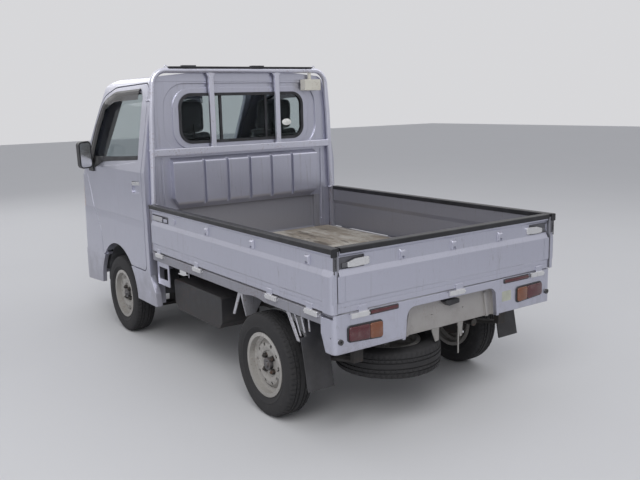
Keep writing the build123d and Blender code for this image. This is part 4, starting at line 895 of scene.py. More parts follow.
class Skin:
    """Finds the outer face of the left side, so that trims can lie on it."""

    def __init__(self, *layers: tuple[str, float]) -> None:
        """Read the nodes' faces.

        Args:
            layers: node names, each with how far the wanted face lies outside the node's own.
        """
        self.layers = []
        for name, off in layers:
            node = NODES[name]
            points = [node.matrix_world @ point.co for point in node.data.vertices]
            tree = BVHTree.FromPolygons(points, [tuple(face.vertices) for face in node.data.polygons])
            self.layers.append((tree, off))

    def x(self, y: float, z: float) -> float:
        """How far out the side is at a place."""
        for tree, off in self.layers:
            place = tree.ray_cast(Vector((1.2, y, z)), Vector((-1.0, 0.0, 0.0)))[0]
            if place is not None and place.x > 0.5:
                return place.x + off
        return 0.0

    def strip(self, lines: Sequence[Line], stands: Sequence[float], thick: float,
              count: int = 40) -> Shape:
        """Sheet that runs along lines on the side.

        Args:
            lines: two or more lines of (y, z) points, from one edge of the sheet to the other.
            stands: how far off the side the sheet's outer face is at each line.
            thick: its thickness.
            count: steps along the lines.
        """
        rings = []
        for n in range(count + 1):
            outer = []
            for line, stand in zip(lines, stands):
                y, z = along(line, n / count)
                outer.append(Vector((self.x(y, z) + stand, y, z)))
            inner = [point - Vector((thick, 0.0, 0.0)) for point in reversed(outer)]
            rings.append(outer + inner)
        return Shape().rings(rings)


SILVER = (0.520, 0.526, 0.618)
GALVANISED = (0.72, 0.72, 0.73)
SHADOWED = (0.10, 0.10, 0.115)

BODY = Paint("silver body paint", SILVER)
# the body's blue silver made lighter on the guard frame and its gussets: painted light, for a top that faces
# the light
LIT_GUARD = Paint("guard frame paint", (0.66, 0.665, 0.76), dust=0.1, wear=0.45, rust=0.25, splash=0.0)
UNDER = Paint("dusty underbody paint", (0.030, 0.030, 0.033), metallic=0.05, rough=0.7, coat=0.0, dust=0.25,
              splash=0.6, splash_height=0.9, rust=0.6, wear=0.3, mud=(0.055, 0.050, 0.046))
TANK = Paint("black tank paint", (0.022, 0.022, 0.026), metallic=0.0, rough=0.5, coat=0.1, dust=0.15,
             splash=0.5, splash_height=0.6, rust=0.4, mud=(0.045, 0.042, 0.040))
WHEEL = Paint("wheel enamel", (0.47, 0.455, 0.43), metallic=0.15, rough=0.42, coat=0.2, dust=0.1, splash=0.4,
              splash_height=0.5, rust=0.25, grime=0.0, wear=0.3, mud=(0.11, 0.10, 0.09), ease=0.002)
CREAM = Paint("yellowed cream paint", (0.62, 0.60, 0.53), metallic=0.0, rough=0.4, coat=0.4, rust=0.2,
              splash=0.0)
RUBBER = Rubber("weathered rubber", (0.015, 0.015, 0.018), 0.62, dust=0.15, splash=0.25,
                dust_colour=(0.09, 0.086, 0.084))
TRIM = Rubber("gate trim rubber", (0.007, 0.007, 0.009), 0.45, 300.0, 0.0002, 0.05, 0.0)
PLASTIC = Rubber("grained black plastic", (0.014, 0.014, 0.016), 0.45, 700.0, 0.00012, 0.12, 0.15)
INTERIOR = Rubber("grey cabin plastic", (0.055, 0.056, 0.060), 0.6, 800.0, 0.00015, 0.15, 0.0)
HEADLINER = Rubber("pale headliner", (0.40, 0.39, 0.37), 0.9, 900.0, 0.00015, 0.0, 0.0)
TYRE = Tread("tyre rubber")
GLASS = Glass("vehicle glass", (0.66, 0.71, 0.72))
SMOKED = Glass("smoked visor plastic", (0.14, 0.13, 0.14), 0.10)
CLOTH = Cloth("dark seat cloth")
WOOD = Plywood("worn plywood")
IRON = Metal("raw casting", (0.09, 0.088, 0.086), 0.6, 0.45)
ZINC = Metal("dull zinc plate", (0.42, 0.41, 0.39), 0.45, 0.25)
BRIGHT = Metal("bright plated steel", GALVANISED, 0.28, 0.10)
RUSTY = Metal("rusty steel", (0.10, 0.095, 0.09), 0.55, 0.9)
HUB = Metal("dull hub steel", (0.20, 0.195, 0.20), 0.45, 0.35)
MIRROR = Metal("mirror glass", (0.88, 0.89, 0.90), 0.08, 0.0)
RED = Lens("dark red lens", (0.085, 0.006, 0.012))
AMBER = Lens("amber lens", (0.20, 0.058, 0.018))
CLEAR = Glass("clear lamp cover", (0.92, 0.94, 0.95), 0.03)
LABEL = Rubber("blank label", (0.62, 0.62, 0.60), 0.4, 900.0, 0.00005, 0.1, 0.0)
OLD_LABEL = Rubber("faded blank label", (0.36, 0.37, 0.31), 0.5, 900.0, 0.00005, 0.1, 0.0)


@dataclass
class Studio:
    """Floor, soft light and the photograph's camera."""

    camera_place: Point = (2.5735, 4.2313, 1.5818)
    azimuth: float = 144.9288
    elevation: float = 10.4715
    roll: float = -1.3879
    focal_px: float = 760.3495
    image_width: float = 640.0
    sensor: float = 36.0
    floor_half: float = 30.0
    wall_light: float = 0.85
    ceiling_light: float = 1.15
    mirrored_wall: float = 0.78
    soft_light: float = 0.55

    SOFT_COLOUR = (0.92, 0.94, 1.0)
    WALL_COLOUR = (0.80, 0.80, 0.82)
    # how far up a mirrored ray looks where the wall ends and where the ceiling starts
    WALL_TO_CEILING = (0.12, 0.80)
    # name, place, size and watts
    LAMPS = (("key", (4.5, 5.5, 6.5), 6.0, 420.0), ("far side", (-5.5, 1.0, 5.5), 5.0, 60.0),
             ("front", (1.0, -7.5, 5.0), 5.0, 100.0))
    LAMPS_AIM = (0.0, 0.0, 0.6)

    def build(self) -> None:
        """Set the stage."""
        self.floor()
        self.world()
        for name, place, size, watts in self.LAMPS:
            self.lamp(name, place, size, watts)
        self.camera()

    def floor(self) -> None:
        """Pale floor under the wheels."""
        h = self.floor_half
        mesh = meshed("floor", [(-h, -h, 0), (h, -h, 0), (h, h, 0), (-h, h, 0)], [(0, 1, 2, 3)])
        mesh.materials.append(StageFinish("pale floor").material())
        floor = linked("floor", mesh)

    def world(self) -> None:
        """Soft light from all round, which camera, mirror and glass rays see as a pale wall."""
        world = bpy.data.worlds.new("studio")
        bpy.context.scene.world = world
        world.use_nodes = True
        tree = world.node_tree
        tree.nodes.clear()
        graph = Graph(tree)
        rays = graph.add("LightPath").outputs
        seen = graph.most(rays["Is Camera Ray"], rays["Is Glossy Ray"], rays["Is Transmission Ray"])
        soft = graph.add("Background", Color=self.SOFT_COLOUR, Strength=self.soft_light)
        wall = graph.add("Background", Color=self.WALL_COLOUR)
        up = graph.axes(graph.add("TexCoord").outputs["Generated"])[2]
        sky = graph.between(graph.step(up, *self.WALL_TO_CEILING), self.mirrored_wall, self.ceiling_light)
        seen_light = graph.between(rays["Is Camera Ray"], sky, self.wall_light)
        graph.feed(wall.inputs["Strength"], seen_light)
        both = graph.add("MixShader")
        graph.feed(both.inputs[0], seen)
        graph.feed(both.inputs[1], soft.outputs[0])
        graph.feed(both.inputs[2], wall.outputs[0])
        output = tree.nodes.new("ShaderNodeOutputWorld")
        tree.links.new(both.outputs[0], output.inputs[0])

    def lamp(self, name: str, place: Point, size: float, watts: float) -> None:
        """Square soft lamp that points at the vehicle."""
        light = bpy.data.lights.new(name, "AREA")
        light.energy = watts
        light.size = size
        turn = (Vector(self.LAMPS_AIM) - Vector(place)).to_track_quat("-Z", "Y")
        linked(name, light).matrix_world = Matrix.Translation(place) @ turn.to_matrix().to_4x4()

    def camera(self) -> None:
        """Camera at the photograph's angle and distance."""
        azimuth, elevation, roll = radians(self.azimuth), radians(self.elevation), radians(self.roll)
        back = Vector((sin(azimuth) * cos(elevation), -cos(azimuth) * cos(elevation), sin(elevation)))
        right = (-back).cross(Vector((0, 0, 1))).normalized()
        up = right.cross(-back)
        rolled_right = right * cos(roll) + up * sin(roll)
        rolled_up = up * cos(roll) - right * sin(roll)
        data = bpy.data.cameras.new("photo camera")
        data.sensor_width = self.sensor
        data.lens = self.focal_px / self.image_width * self.sensor
        camera = linked("photo camera", data)
        camera.matrix_world = Matrix.Translation(self.camera_place) @ Matrix(
            (rolled_right, rolled_up, back)).transposed().to_4x4()
        bpy.context.scene.camera = camera


@dataclass
class Wheels:
    """Four road wheels and the spare: treaded tyres, nuts, grease caps and valves."""

    pitches: int = 60
    groove_depth: float = 0.0065
    nut_circle_r: float = 0.050

    # (across from the middle, radius) of half a tyre, from the tread's middle to the bead
    PROFILE = ((0.000, 0.2680), (0.0110, 0.2680), (0.0125, 0.2615), (0.0170, 0.2615), (0.0185, 0.2679),
               (0.0310, 0.2676), (0.0325, 0.2612), (0.0370, 0.2612), (0.0385, 0.2671), (0.0480, 0.2655),
               (0.0560, 0.2628), (0.0620, 0.2580), (0.0660, 0.2510), (0.0690, 0.2420), (0.0708, 0.2320),
               (0.0718, 0.2240), (0.0720, 0.2150), (0.0716, 0.2060), (0.0706, 0.1980), (0.0712, 0.1972),
               (0.0712, 0.1945), (0.0690, 0.1925), (0.0640, 0.1820), (0.0585, 0.1745), (0.0552, 0.1700),
               (0.0548, 0.1560))
    STEPS_IN_PITCH = 6
    SHOULDER_SHIFT = 2
    TREAD_EDGE = 0.060
    GROOVE_FLOOR_R = 0.2585
    SLOT_EDGE = 0.0385
    SIPE_FROM, SIPE_TO = 0.0185, 0.0325
    SIPE_SHARE = 0.6
    CUT_END = 0.064
    CUT_FADE = 0.012
    # (out from the wheel's middle, radius) of a nut's seat, its stud and the grease cap
    NUT_SEAT = ((0.0205, 0.0155), (0.0225, 0.0155), (0.0228, 0.013))
    STUD = ((0.038, 0.0058), (0.0450, 0.0058), (0.0465, 0.0045))
    GREASE_CAP = ((0.018, 0.0325), (0.036, 0.0325), (0.041, 0.0315), (0.0425, 0.027), (0.0435, 0.018),
                  (0.050, 0.0165), (0.0525, 0.012), (0.053, 0.002))
    NUT_LOW, NUT_HIGH, NUT_R = 0.0205, 0.0385, 0.0135
    VALVE = ((0.030, 0.118, 0.0), (0.040, 0.119, 0.0), (0.055, 0.121, 0.0))
    VALVE_R = 0.0032

    def build(self) -> None:
        """Make all the wheels' pieces."""
        for end, side in (("fl", 1), ("fr", -1), ("rl", 1), ("rr", -1)):
            self.road_wheel(end, side)
        self.spare()

    def tyre_shape(self) -> tuple[list[tuple[float, float, float]], list]:
        """Points (across, angle, radius) and faces of a tyre about the X axis."""
        half = list(self.PROFILE)
        section = [(-a, r) for a, r in reversed(half[1:])] + half
        steps = self.pitches * self.STEPS_IN_PITCH
        points = []
        for n in range(steps):
            phase = n % self.STEPS_IN_PITCH
            last = phase + 1 == self.STEPS_IN_PITCH
            for a, r in section:
                shift = self.SHOULDER_SHIFT if a > 0 else 0
                cut = (phase + shift) % self.STEPS_IN_PITCH
                tread = abs(a) < self.TREAD_EDGE and r > self.GROOVE_FLOOR_R
                slot = tread and cut in (0, 1) and abs(a) > self.SLOT_EDGE
                sipe = tread and last and self.SIPE_FROM <= abs(a) < self.SIPE_TO
                depth = self.groove_depth if slot else self.groove_depth * self.SIPE_SHARE if sipe else 0.0
                fade = min(1.0, (self.CUT_END - abs(a)) / self.CUT_FADE)
                points.append((a, tau * n / steps, r - depth * fade))
        count = len(section)
        faces = []
        for n in range(steps):
            for k in range(count - 1):
                here, there = n * count + k, (n + 1) % steps * count + k
                faces.append((here, there, there + 1, here + 1))
        for n in range(steps):
            here, there = n * count, (n + 1) % steps * count
            faces.append((here + count - 1, there + count - 1, there, here))
        return points, faces

    def tyre(self, name: str, centre: Vector, body: str, flat: bool = False) -> None:
        """Make one tyre and let it stand for its solid."""
        points, faces = self.tyre_shape()
        placed = []
        for a, angle, r in points:
            if flat:
                placed.append(centre + Vector((r * cos(angle), r * sin(angle), a)))
            else:
                placed.append(centre + Vector((a, r * cos(angle), r * sin(angle))))
        piece = new_piece("treaded_" + name, placed, faces, TYRE, body, 50.0)
        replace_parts(piece, name)

    def road_wheel(self, end: str, side: int) -> None:
        """Tyre, nuts, grease cap and valve of one road wheel."""
        low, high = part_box("tyre_" + end)
        centre = (low + high) / 2
        body = "wheel_" + end
        self.tyre("tyre_" + end, centre, body)
        nuts = Shape()
        for k in range(4):
            angle = pi / 4 + pi / 2 * k
            y, z = self.nut_circle_r * cos(angle), self.nut_circle_r * sin(angle)
            nuts.hexagon((0, y, z), "X", self.NUT_LOW, self.NUT_HIGH, self.NUT_R)
            nuts.turned(self.NUT_SEAT, (0, y, z), "X", 16)
            nuts.turned(self.STUD, (0, y, z), "X", 12)
        cap = Shape().turned(self.GREASE_CAP, (0, 0, 0), "X", 32)
        valve = Shape().tube(self.VALVE, self.VALVE_R, 8)
        for label, shape, finish in (("nuts_", nuts, RUSTY), ("grease_cap_", cap, HUB),
                                     ("valve_", valve, RUBBER)):
            if side < 0:
                shape = shape.mirrored()
            shape.moved(*centre).piece(label + end, finish, body)

    def spare(self) -> None:
        """Tyre of the spare, which hangs flat."""
        low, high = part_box("spare_tyre")
        self.tyre("spare_tyre", (low + high) / 2, "truck", flat=True)


@dataclass
class Cab:
    """Finishes of the cab's panels, and its glass, seals, mirrors and lamps."""

    # (y, z) corners of a door's window opening, with the radius at each
    WINDOW = ((-1.300, 1.140), (-1.238, 1.305), (-1.172, 1.440), (-1.060, 1.590), (-0.880, 1.642),
              (-0.398, 1.654), (-0.398, 1.222), (-0.690, 1.186))
    WINDOW_RADII = (0.030, 0.300, 0.300, 0.120, 0.400, 0.045, 0.035, 0.600)
    # x, z and radius of a headlamp's round cover
    BOWL = (0.525, 0.884, 0.0555)
    # from the opening's lower edge up: the panel's edge, the top of the panel and the top of the strip
    SILL_LOW = ((-1.180, 1.140), (-1.000, 1.156), (-0.690, 1.181), (-0.560, 1.196), (-0.394, 1.217))
    SILL_MID = ((-1.180, 1.152), (-1.012, 1.190), (-0.838, 1.205), (-0.600, 1.219), (-0.396, 1.232))
    SILL_TOP = ((-1.180, 1.205), (-1.012, 1.226), (-0.838, 1.233), (-0.600, 1.245), (-0.398, 1.257))
    CORNER = ((-1.2975, 1.1395), (-1.178, 1.1395), (-1.085, 1.170), (-1.010, 1.192), (-1.010, 1.227),
              (-1.130, 1.222), (-1.268, 1.222))
    CORNER_Y, CORNER_Z = -1.150, 1.180
    SKIN_OVER_GLASS = 0.0206
    SEAL_INSET = 0.0055
    SEAL_PROBE = 0.012
    SEAL_BEHIND_SKIN = 0.0175
    SEAL_R = 0.0050
    # the points of the window's outline that the visor follows, and its width where it is least and grows
    VISOR_EDGE = range(5, 46)
    VISOR_WIDTH, VISOR_GROWTH, VISOR_POWER = 0.044, 0.050, 1.2
    # the front face at a headlamp: a point on it, its lean, and its slope and curve across
    FACE_X, FACE_Y, FACE_Z = 0.46, -1.629, 0.94
    FACE_LEAN, FACE_SLOPE, FACE_CURVE = 0.075, 0.0625, 0.9375
    COVER_RINGS = ((0.15, 0.0015), (0.6, 0.0015), (1.0, 0.0015), (1.0, 0.0035), (0.6, 0.0035), (0.15, 0.0035))
    LABEL_X, LABEL_Z = -0.3435, 1.4335
    LABEL_HALF_WIDTH, LABEL_HALF_HEIGHT = 0.0375, 0.0225
    MIRROR_OUTLINE = ((0.7780, 1.1550), (0.8510, 1.1480), (0.8550, 1.3170), (0.7850, 1.3240))

    def build(self) -> None:
        """Dress the cab."""
        dress(BODY, "cab_roof", "front_panel", "cab_side_frames", "front_bumper")
        # the rear wall below the bulge in a darker silver: painted shade under the bulge, with some dirt
        dirt_and_shade_under_bulge = Region((0.0, -0.40, 0.60), (0.60, -0.20, 0.906), (0.30, 0.30, 0.335), 0.6, 0.42)
        wall = Paint("rear wall paint", SILVER, scratches=0.3, grime=0.25, regions=(dirt_and_shade_under_bulge,))
        dress(wall, "cab_rear_panel")
        dress(INTERIOR, "cab_floor", "dashboard")
        dress(PLASTIC, "front_grille", "wipers", "steering_wheel")
        dress(RUBBER, "rear_window_seal")
        dress(GLASS, "windscreen", "rear_window_panes")
        self.headlamps()
        for side in Side:
            handle = Region((0.7262, -0.5125, 1.0605), (0.7372, -0.3515, 1.0935), GALVANISED, 0.9, 0.22)
            dress(Paint("silver door paint", SILVER, regions=(handle,)), "door_" + side.word)
            dress(GLASS, "door_glass_" + side.word)
            dress(PLASTIC, "mirror_" + side.word)
            self.mirror_glass(side)
        self.door_trims()
        self.rear_label()

    def door_trims(self) -> None:
        """Seal, visor, sill strip and front corner piece of both door windows."""
        skin = Skin(("door_left", 0.0), ("door_glass_left", self.SKIN_OVER_GLASS))
        outline = [Vector(point) for point in filleted(self.WINDOW, self.WINDOW_RADII, 8)]
        inward = []
        for k, point in enumerate(outline):
            run = outline[(k + 1) % len(outline)] - outline[k - 1]
            inward.append(Vector((run.y, -run.x)).normalized())
        seal = []
        for point, normal in zip(outline, inward):
            y, z = point + normal * self.SEAL_INSET
            seal.append((skin.x(*(point + normal * self.SEAL_PROBE)) - self.SEAL_BEHIND_SKIN, y, z))
        shapes = {"window_seal_": (Shape().tube(seal, self.SEAL_R, 8, closed=True), RUBBER)}
        edge = self.VISOR_EDGE
        widths = [self.VISOR_WIDTH + self.VISOR_GROWTH * abs(inward[k].x) ** self.VISOR_POWER for k in edge]
        lines = [[outline[k] - inward[k] * 0.024 for k in edge],
                 [outline[k] - inward[k] * 0.010 for k in edge],
                 [outline[k] + inward[k] * width * 0.45 for k, width in zip(edge, widths)],
                 [outline[k] + inward[k] * width for k, width in zip(edge, widths)]]
        shapes["window_visor_"] = (skin.strip(lines, (0.0022, 0.0105, 0.0150, 0.0160), 0.0020, 60), SMOKED)
        shapes["visor_flange_"] = (skin.strip([lines[0], lines[1]], (0.0026, 0.0110), 0.0028, 60), PLASTIC)
        shapes["door_sill_"] = (skin.strip([self.SILL_LOW, self.SILL_MID], (-0.0006, -0.0006), 0.006), BODY)
        shapes["sill_strip_"] = (skin.strip([self.SILL_MID, self.SILL_TOP], (0.0025, 0.0005), 0.010), RUBBER)
        middle = Vector((self.CORNER_Y, self.CORNER_Z))
        corner = [Vector(point) for point in filleted(self.CORNER, 0.006, 3)]
        rings = []
        for stand, share in ((-0.012, 1.0), (0.002, 1.0), (0.0045, 0.965)):
            ring = [middle.lerp(point, share) for point in corner]
            rings.append([(skin.x(self.CORNER_Y, z) + stand, y, z) for y, z in ring])
        shapes["mirror_corner_"] = (Shape().rings(rings), PLASTIC)
        for name, (shape, finish) in shapes.items():
            shape.piece(name + "left", finish, "door_left")
            shape.mirrored().piece(name + "right", finish, "door_right")

    def headlamps(self) -> None:
        """Plated housings with an amber corner, and a clear round cover over each bowl."""
        x, z, r = self.BOWL

        def around(half: float, front: float, back: float, *looks: object) -> Region:
            """Region about the middle of the bowl."""
            return Region((x - half, front, z - half), (x + half, back, z + half), *looks)

        bowl = around(0.057, -1.6045, -1.6025, (0.80, 0.80, 0.82), 1.0, 0.12)
        bulb = around(0.013, -1.6220, -1.6045, (0.75, 0.74, 0.70), 0.2, 0.15)
        corner = Region((0.672, -1.56, 0.79), (0.75, -1.44, 1.02), (0.42, 0.13, 0.02), 0.0, 0.12)
        dress(Paint("lamp housing", (0.17, 0.17, 0.18), metallic=0.95, rough=0.16, coat=1.0, dust=0.05,
                    splash=0.0, scratches=0.05, wear=0.0, rust=0.0, grime=0.0,
                    regions=(bowl, bulb, corner), ease=0.002), "headlamps")
        rings = []
        for share, depth in self.COVER_RINGS:
            ring = []
            for k in range(32):
                across, up = share * r * cos(tau * k / 32), share * r * sin(tau * k / 32)
                run = x + across - self.FACE_X
                face = self.FACE_Y + self.FACE_LEAN * (z + up - self.FACE_Z)
                face += self.FACE_SLOPE * run + self.FACE_CURVE * run * run
                ring.append((x + across, face + depth, z + up))
            rings.append(ring)
        cover = Shape().rings(rings)
        cover.piece("lamp_cover_left", CLEAR)
        cover.mirrored().piece("lamp_cover_right", CLEAR)

    def rear_label(self) -> None:
        """Blank oval sticker on the right pane of the rear window."""
        outline = [(self.LABEL_X + self.LABEL_HALF_WIDTH * cos(tau * k / 32),
                    self.LABEL_Z + self.LABEL_HALF_HEIGHT * sin(tau * k / 32)) for k in range(32)]
        Shape().plate(outline, -0.2959, -0.2955).piece("window_label", LABEL)

    def mirror_glass(self, side: Side) -> None:
        """Mirror glass, in the room left for it in the shell's rear face."""
        shape = Shape().plate(self.MIRROR_OUTLINE, -1.1215, -1.1185)
        if side is Side.RIGHT:
            shape = shape.mirrored()
        shape.piece("mirror_glass_" + side.word, MIRROR, "door_" + side.word)


@dataclass
class Bed:
    """Finishes of the bed, its gates and the guard frame."""

    def build(self) -> None:
        """Dress the bed."""
        leaf = Region((0.7212, -1.0, 0.60), (0.75, 1.6, 0.6625), GALVANISED)
        lever = Region((0.7195, -0.212, 0.8675), (0.7270, -0.073, 0.8975), (0.52, 0.52, 0.55), 0.85, 0.3)
        keeper = Region((0.7040, 1.6887, 0.8400), (0.7300, 1.6970, 0.9217), (0.09, 0.09, 0.10), 0.6, 0.45)
        rear_leaf = Region((0.0, 1.6832, 0.60), (0.66, 1.70, 0.6625), GALVANISED)
        pivot = Region((0.5890, 1.6690, 0.8685), (0.6690, 1.6779, 0.8895), (0.12, 0.12, 0.13), 0.6, 0.4)
        paddle = Region((0.5200, 1.6780, 0.8655), (0.6430, 1.70, 0.9045), GALVANISED, 0.85, 0.25)
        # inner faces of the gates in a darker, duller silver: painted shade inside the bed
        side_inside_shade = Region((0.0, -0.30, 0.60), (0.7066, 1.70, 0.95), (0.27, 0.27, 0.305), 0.55, 0.42)
        tail_inside_shade = Region((0.0, 1.60, 0.60), (0.76, 1.6655, 0.95), (0.27, 0.27, 0.305), 0.55, 0.42)
        side_pocket = Region((0.7000, -0.2299, 0.8622), (0.7186, 0.0048, 0.9038), SHADOWED, 0.3, 0.5)
        tail_pocket = Region((0.5457, 1.6600, 0.8622), (0.6843, 1.6779, 0.9158), SHADOWED, 0.3, 0.5)
        stay = Region((0.600, 0.60, 0.30), (0.7375, 1.66, 0.6035), (0.52, 0.52, 0.56), 0.6, 0.4)
        stop = Region((0.6740, 1.6812, 0.5270), (0.7040, 1.70, 0.5550), (0.02, 0.02, 0.022), 0.0, 0.6)
        dress(Paint("side gate paint", SILVER, scratches=0.3, wear=0.2, rust=0.04,
                    regions=(side_inside_shade, leaf, side_pocket, lever, keeper)),
              "side_gate_left", "side_gate_right")
        dress(Paint("tail gate paint", SILVER, scratches=0.3, wear=0.2, rust=0.04,
                    regions=(tail_inside_shade, rear_leaf, tail_pocket, pivot, paddle)), "tail_gate")
        tray = Region((0.0, 1.60, 0.46), (0.3160, 1.6575, 0.6250), (0.34, 0.325, 0.315), 0.3, 0.5)
        dress(Paint("valance paint", SILVER, scratches=0.3, rust=0.12, splash=0.5,
                    regions=(rear_leaf, stop, tray)), "rear_valance")
        dress(Paint("bed deck paint", (0.30, 0.30, 0.34), metallic=0.5, rough=0.42, coat=0.15, dust=0.5,
                    scratches=0.8, wear=0.3, rust=0.5, grime=0.3, splash=0.3, splash_height=0.6,
                    regions=(leaf, stay)), "bed_deck")
        dress(LIT_GUARD, "guard_frame")
        dress(CREAM, "work_lamp")
        dress(RUBBER, "guard_rubber", "mud_flaps")
        dress(TRIM, "gate_trim_left", "gate_trim_right", "gate_trim_tail")
        dress(WOOD, "plywood_sheet")
        self.guard_fittings()

    def guard_fittings(self) -> None:
        """Gussets at the tops of the guard's posts, and the bolts of its feet and side stays."""
        gussets = Shape()
        bolts = Shape()
        for x in (-0.250, 0.250):
            for side in (-1, 1):
                foot = x + side * 0.0165
                outline = [(foot, 1.7665), (foot + side * 0.016, 1.7665), (foot, 1.735)]
                gussets.plate(outline, -0.2665, -0.2575)
        for side in (-1, 1):
            for y in (-0.268, -0.256):
                bolts.hexagon((side * 0.694, y, 0.0), "Z", 0.9578, 0.9628, 0.0048)
        gussets.piece("guard_gussets", LIT_GUARD)
        bolts.piece("guard_foot_bolts", BRIGHT)


@dataclass
class Rear:
    """Lamps and fittings on the rear valance."""

    face_y: float = 1.681
    split: float = 0.528

    # (x, z) of the lamp and of the reflectors on the left and right
    LAMP = ((0.449, 0.517), (0.650, 0.530), (0.650, 0.606), (0.449, 0.603))
    REFLECTORS = ((0.354, 0.524), (-0.546, -0.354))

    def build(self) -> None:
        """Dress the rear."""
        dress(ZINC, "plate_brackets")
        dress(PLASTIC, "plate_lamp")
        housings = Shape()
        lenses = {RED: Shape(), AMBER: Shape()}
        for sign in (1, -1):
            self.lamp(sign, housings, lenses)
        y = self.face_y
        for x0, x1 in self.REFLECTORS:
            self.cushion(housings, ((x0, 0.634), (x1, 0.634), (x1, 0.659), (x0, 0.659)), y, y + 0.005, 0.007)
            inner = ((x0 + 0.005, 0.6385), (x1 - 0.005, 0.6385), (x1 - 0.005, 0.6545), (x0 + 0.005, 0.6545))
            self.cushion(lenses[RED], inner, y + 0.004, y + 0.007, 0.005)
        pieces = [housings.piece("tail_lamp_housings", PLASTIC), lenses[RED].piece("red_lenses", RED),
                  lenses[AMBER].piece("amber_lenses", AMBER)]
        for piece in pieces:
            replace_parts(piece, "tail_lamps")
        label = rounded(-0.4125, -0.3440, 0.5415, 0.5945, 0.004)
        Shape().plate(label, self.face_y, self.face_y + 0.0006).piece("valance_label", OLD_LABEL)

    def lamp(self, sign: int, housings: Shape, lenses: dict[Finish, Shape]) -> None:
        """One tail lamp, added to the pieces that it belongs to."""
        y = self.face_y
        self.cushion(housings, [(sign * x, z) for x, z in self.LAMP], y, y + 0.006, 0.016)
        inset = 0.0065
        inner_x, outer_x = self.LAMP[0][0] + inset, self.LAMP[1][0] - inset
        for finish, x0, x1 in ((RED, self.split + 0.001, outer_x), (AMBER, inner_x, self.split - 0.001)):
            corners = [(x0, self.edge(0, x0) + inset), (x1, self.edge(0, x1) + inset),
                       (x1, self.edge(2, x1) - inset), (x0, self.edge(2, x0) - inset)]
            self.cushion(lenses[finish], [(sign * x, z) for x, z in corners], y + 0.005, y + 0.013, 0.010)

    def edge(self, corner: int, x: float) -> float:
        """Height of the lamp's lower or upper edge, which starts at that corner, at one place."""
        (x0, z0), (x1, z1) = self.LAMP[corner], self.LAMP[corner + 1]
        return z0 + (z1 - z0) * (x - x0) / (x1 - x0)

    def cushion(self, shape: Shape, corners: Outline, y0: float, y1: float,
                r: float) -> None:
        """Plate with rounded corners whose outer edge is eased."""
        middle = [sum(part) / len(corners) for part in zip(*corners)]
        ease = min(0.0025, (y1 - y0) * 0.5)
        outline = filleted(corners, r)
        rings = []
        for y, inset in ((y0, 0.0), (y1 - ease, 0.0), (y1 - ease * 0.3, ease * 0.35), (y1, ease)):
            rings.append([(x - copysign(min(inset, abs(x - middle[0])), x - middle[0]), y,
                           z - copysign(min(inset, abs(z - middle[1])), z - middle[1])) for x, z in outline])
        shape.rings(rings)


@dataclass
class Underbody:
    """Finishes below the bed."""

    def build(self) -> None:
        """Dress the underbody."""
        dress(UNDER, "chassis_frame", "front_suspension", "rear_axle", "leaf_springs", "knuckle_left",
              "knuckle_right", "propeller_shaft")
        dress(TANK, "fuel_tank")
        dress(BODY, "filler_bracket")
        dress(RUSTY, "exhaust")
        dress(IRON, "engine_block", "gearbox")
        dress(WHEEL, "rim_fl", "rim_fr", "rim_rl", "rim_rr", "spare_rim")


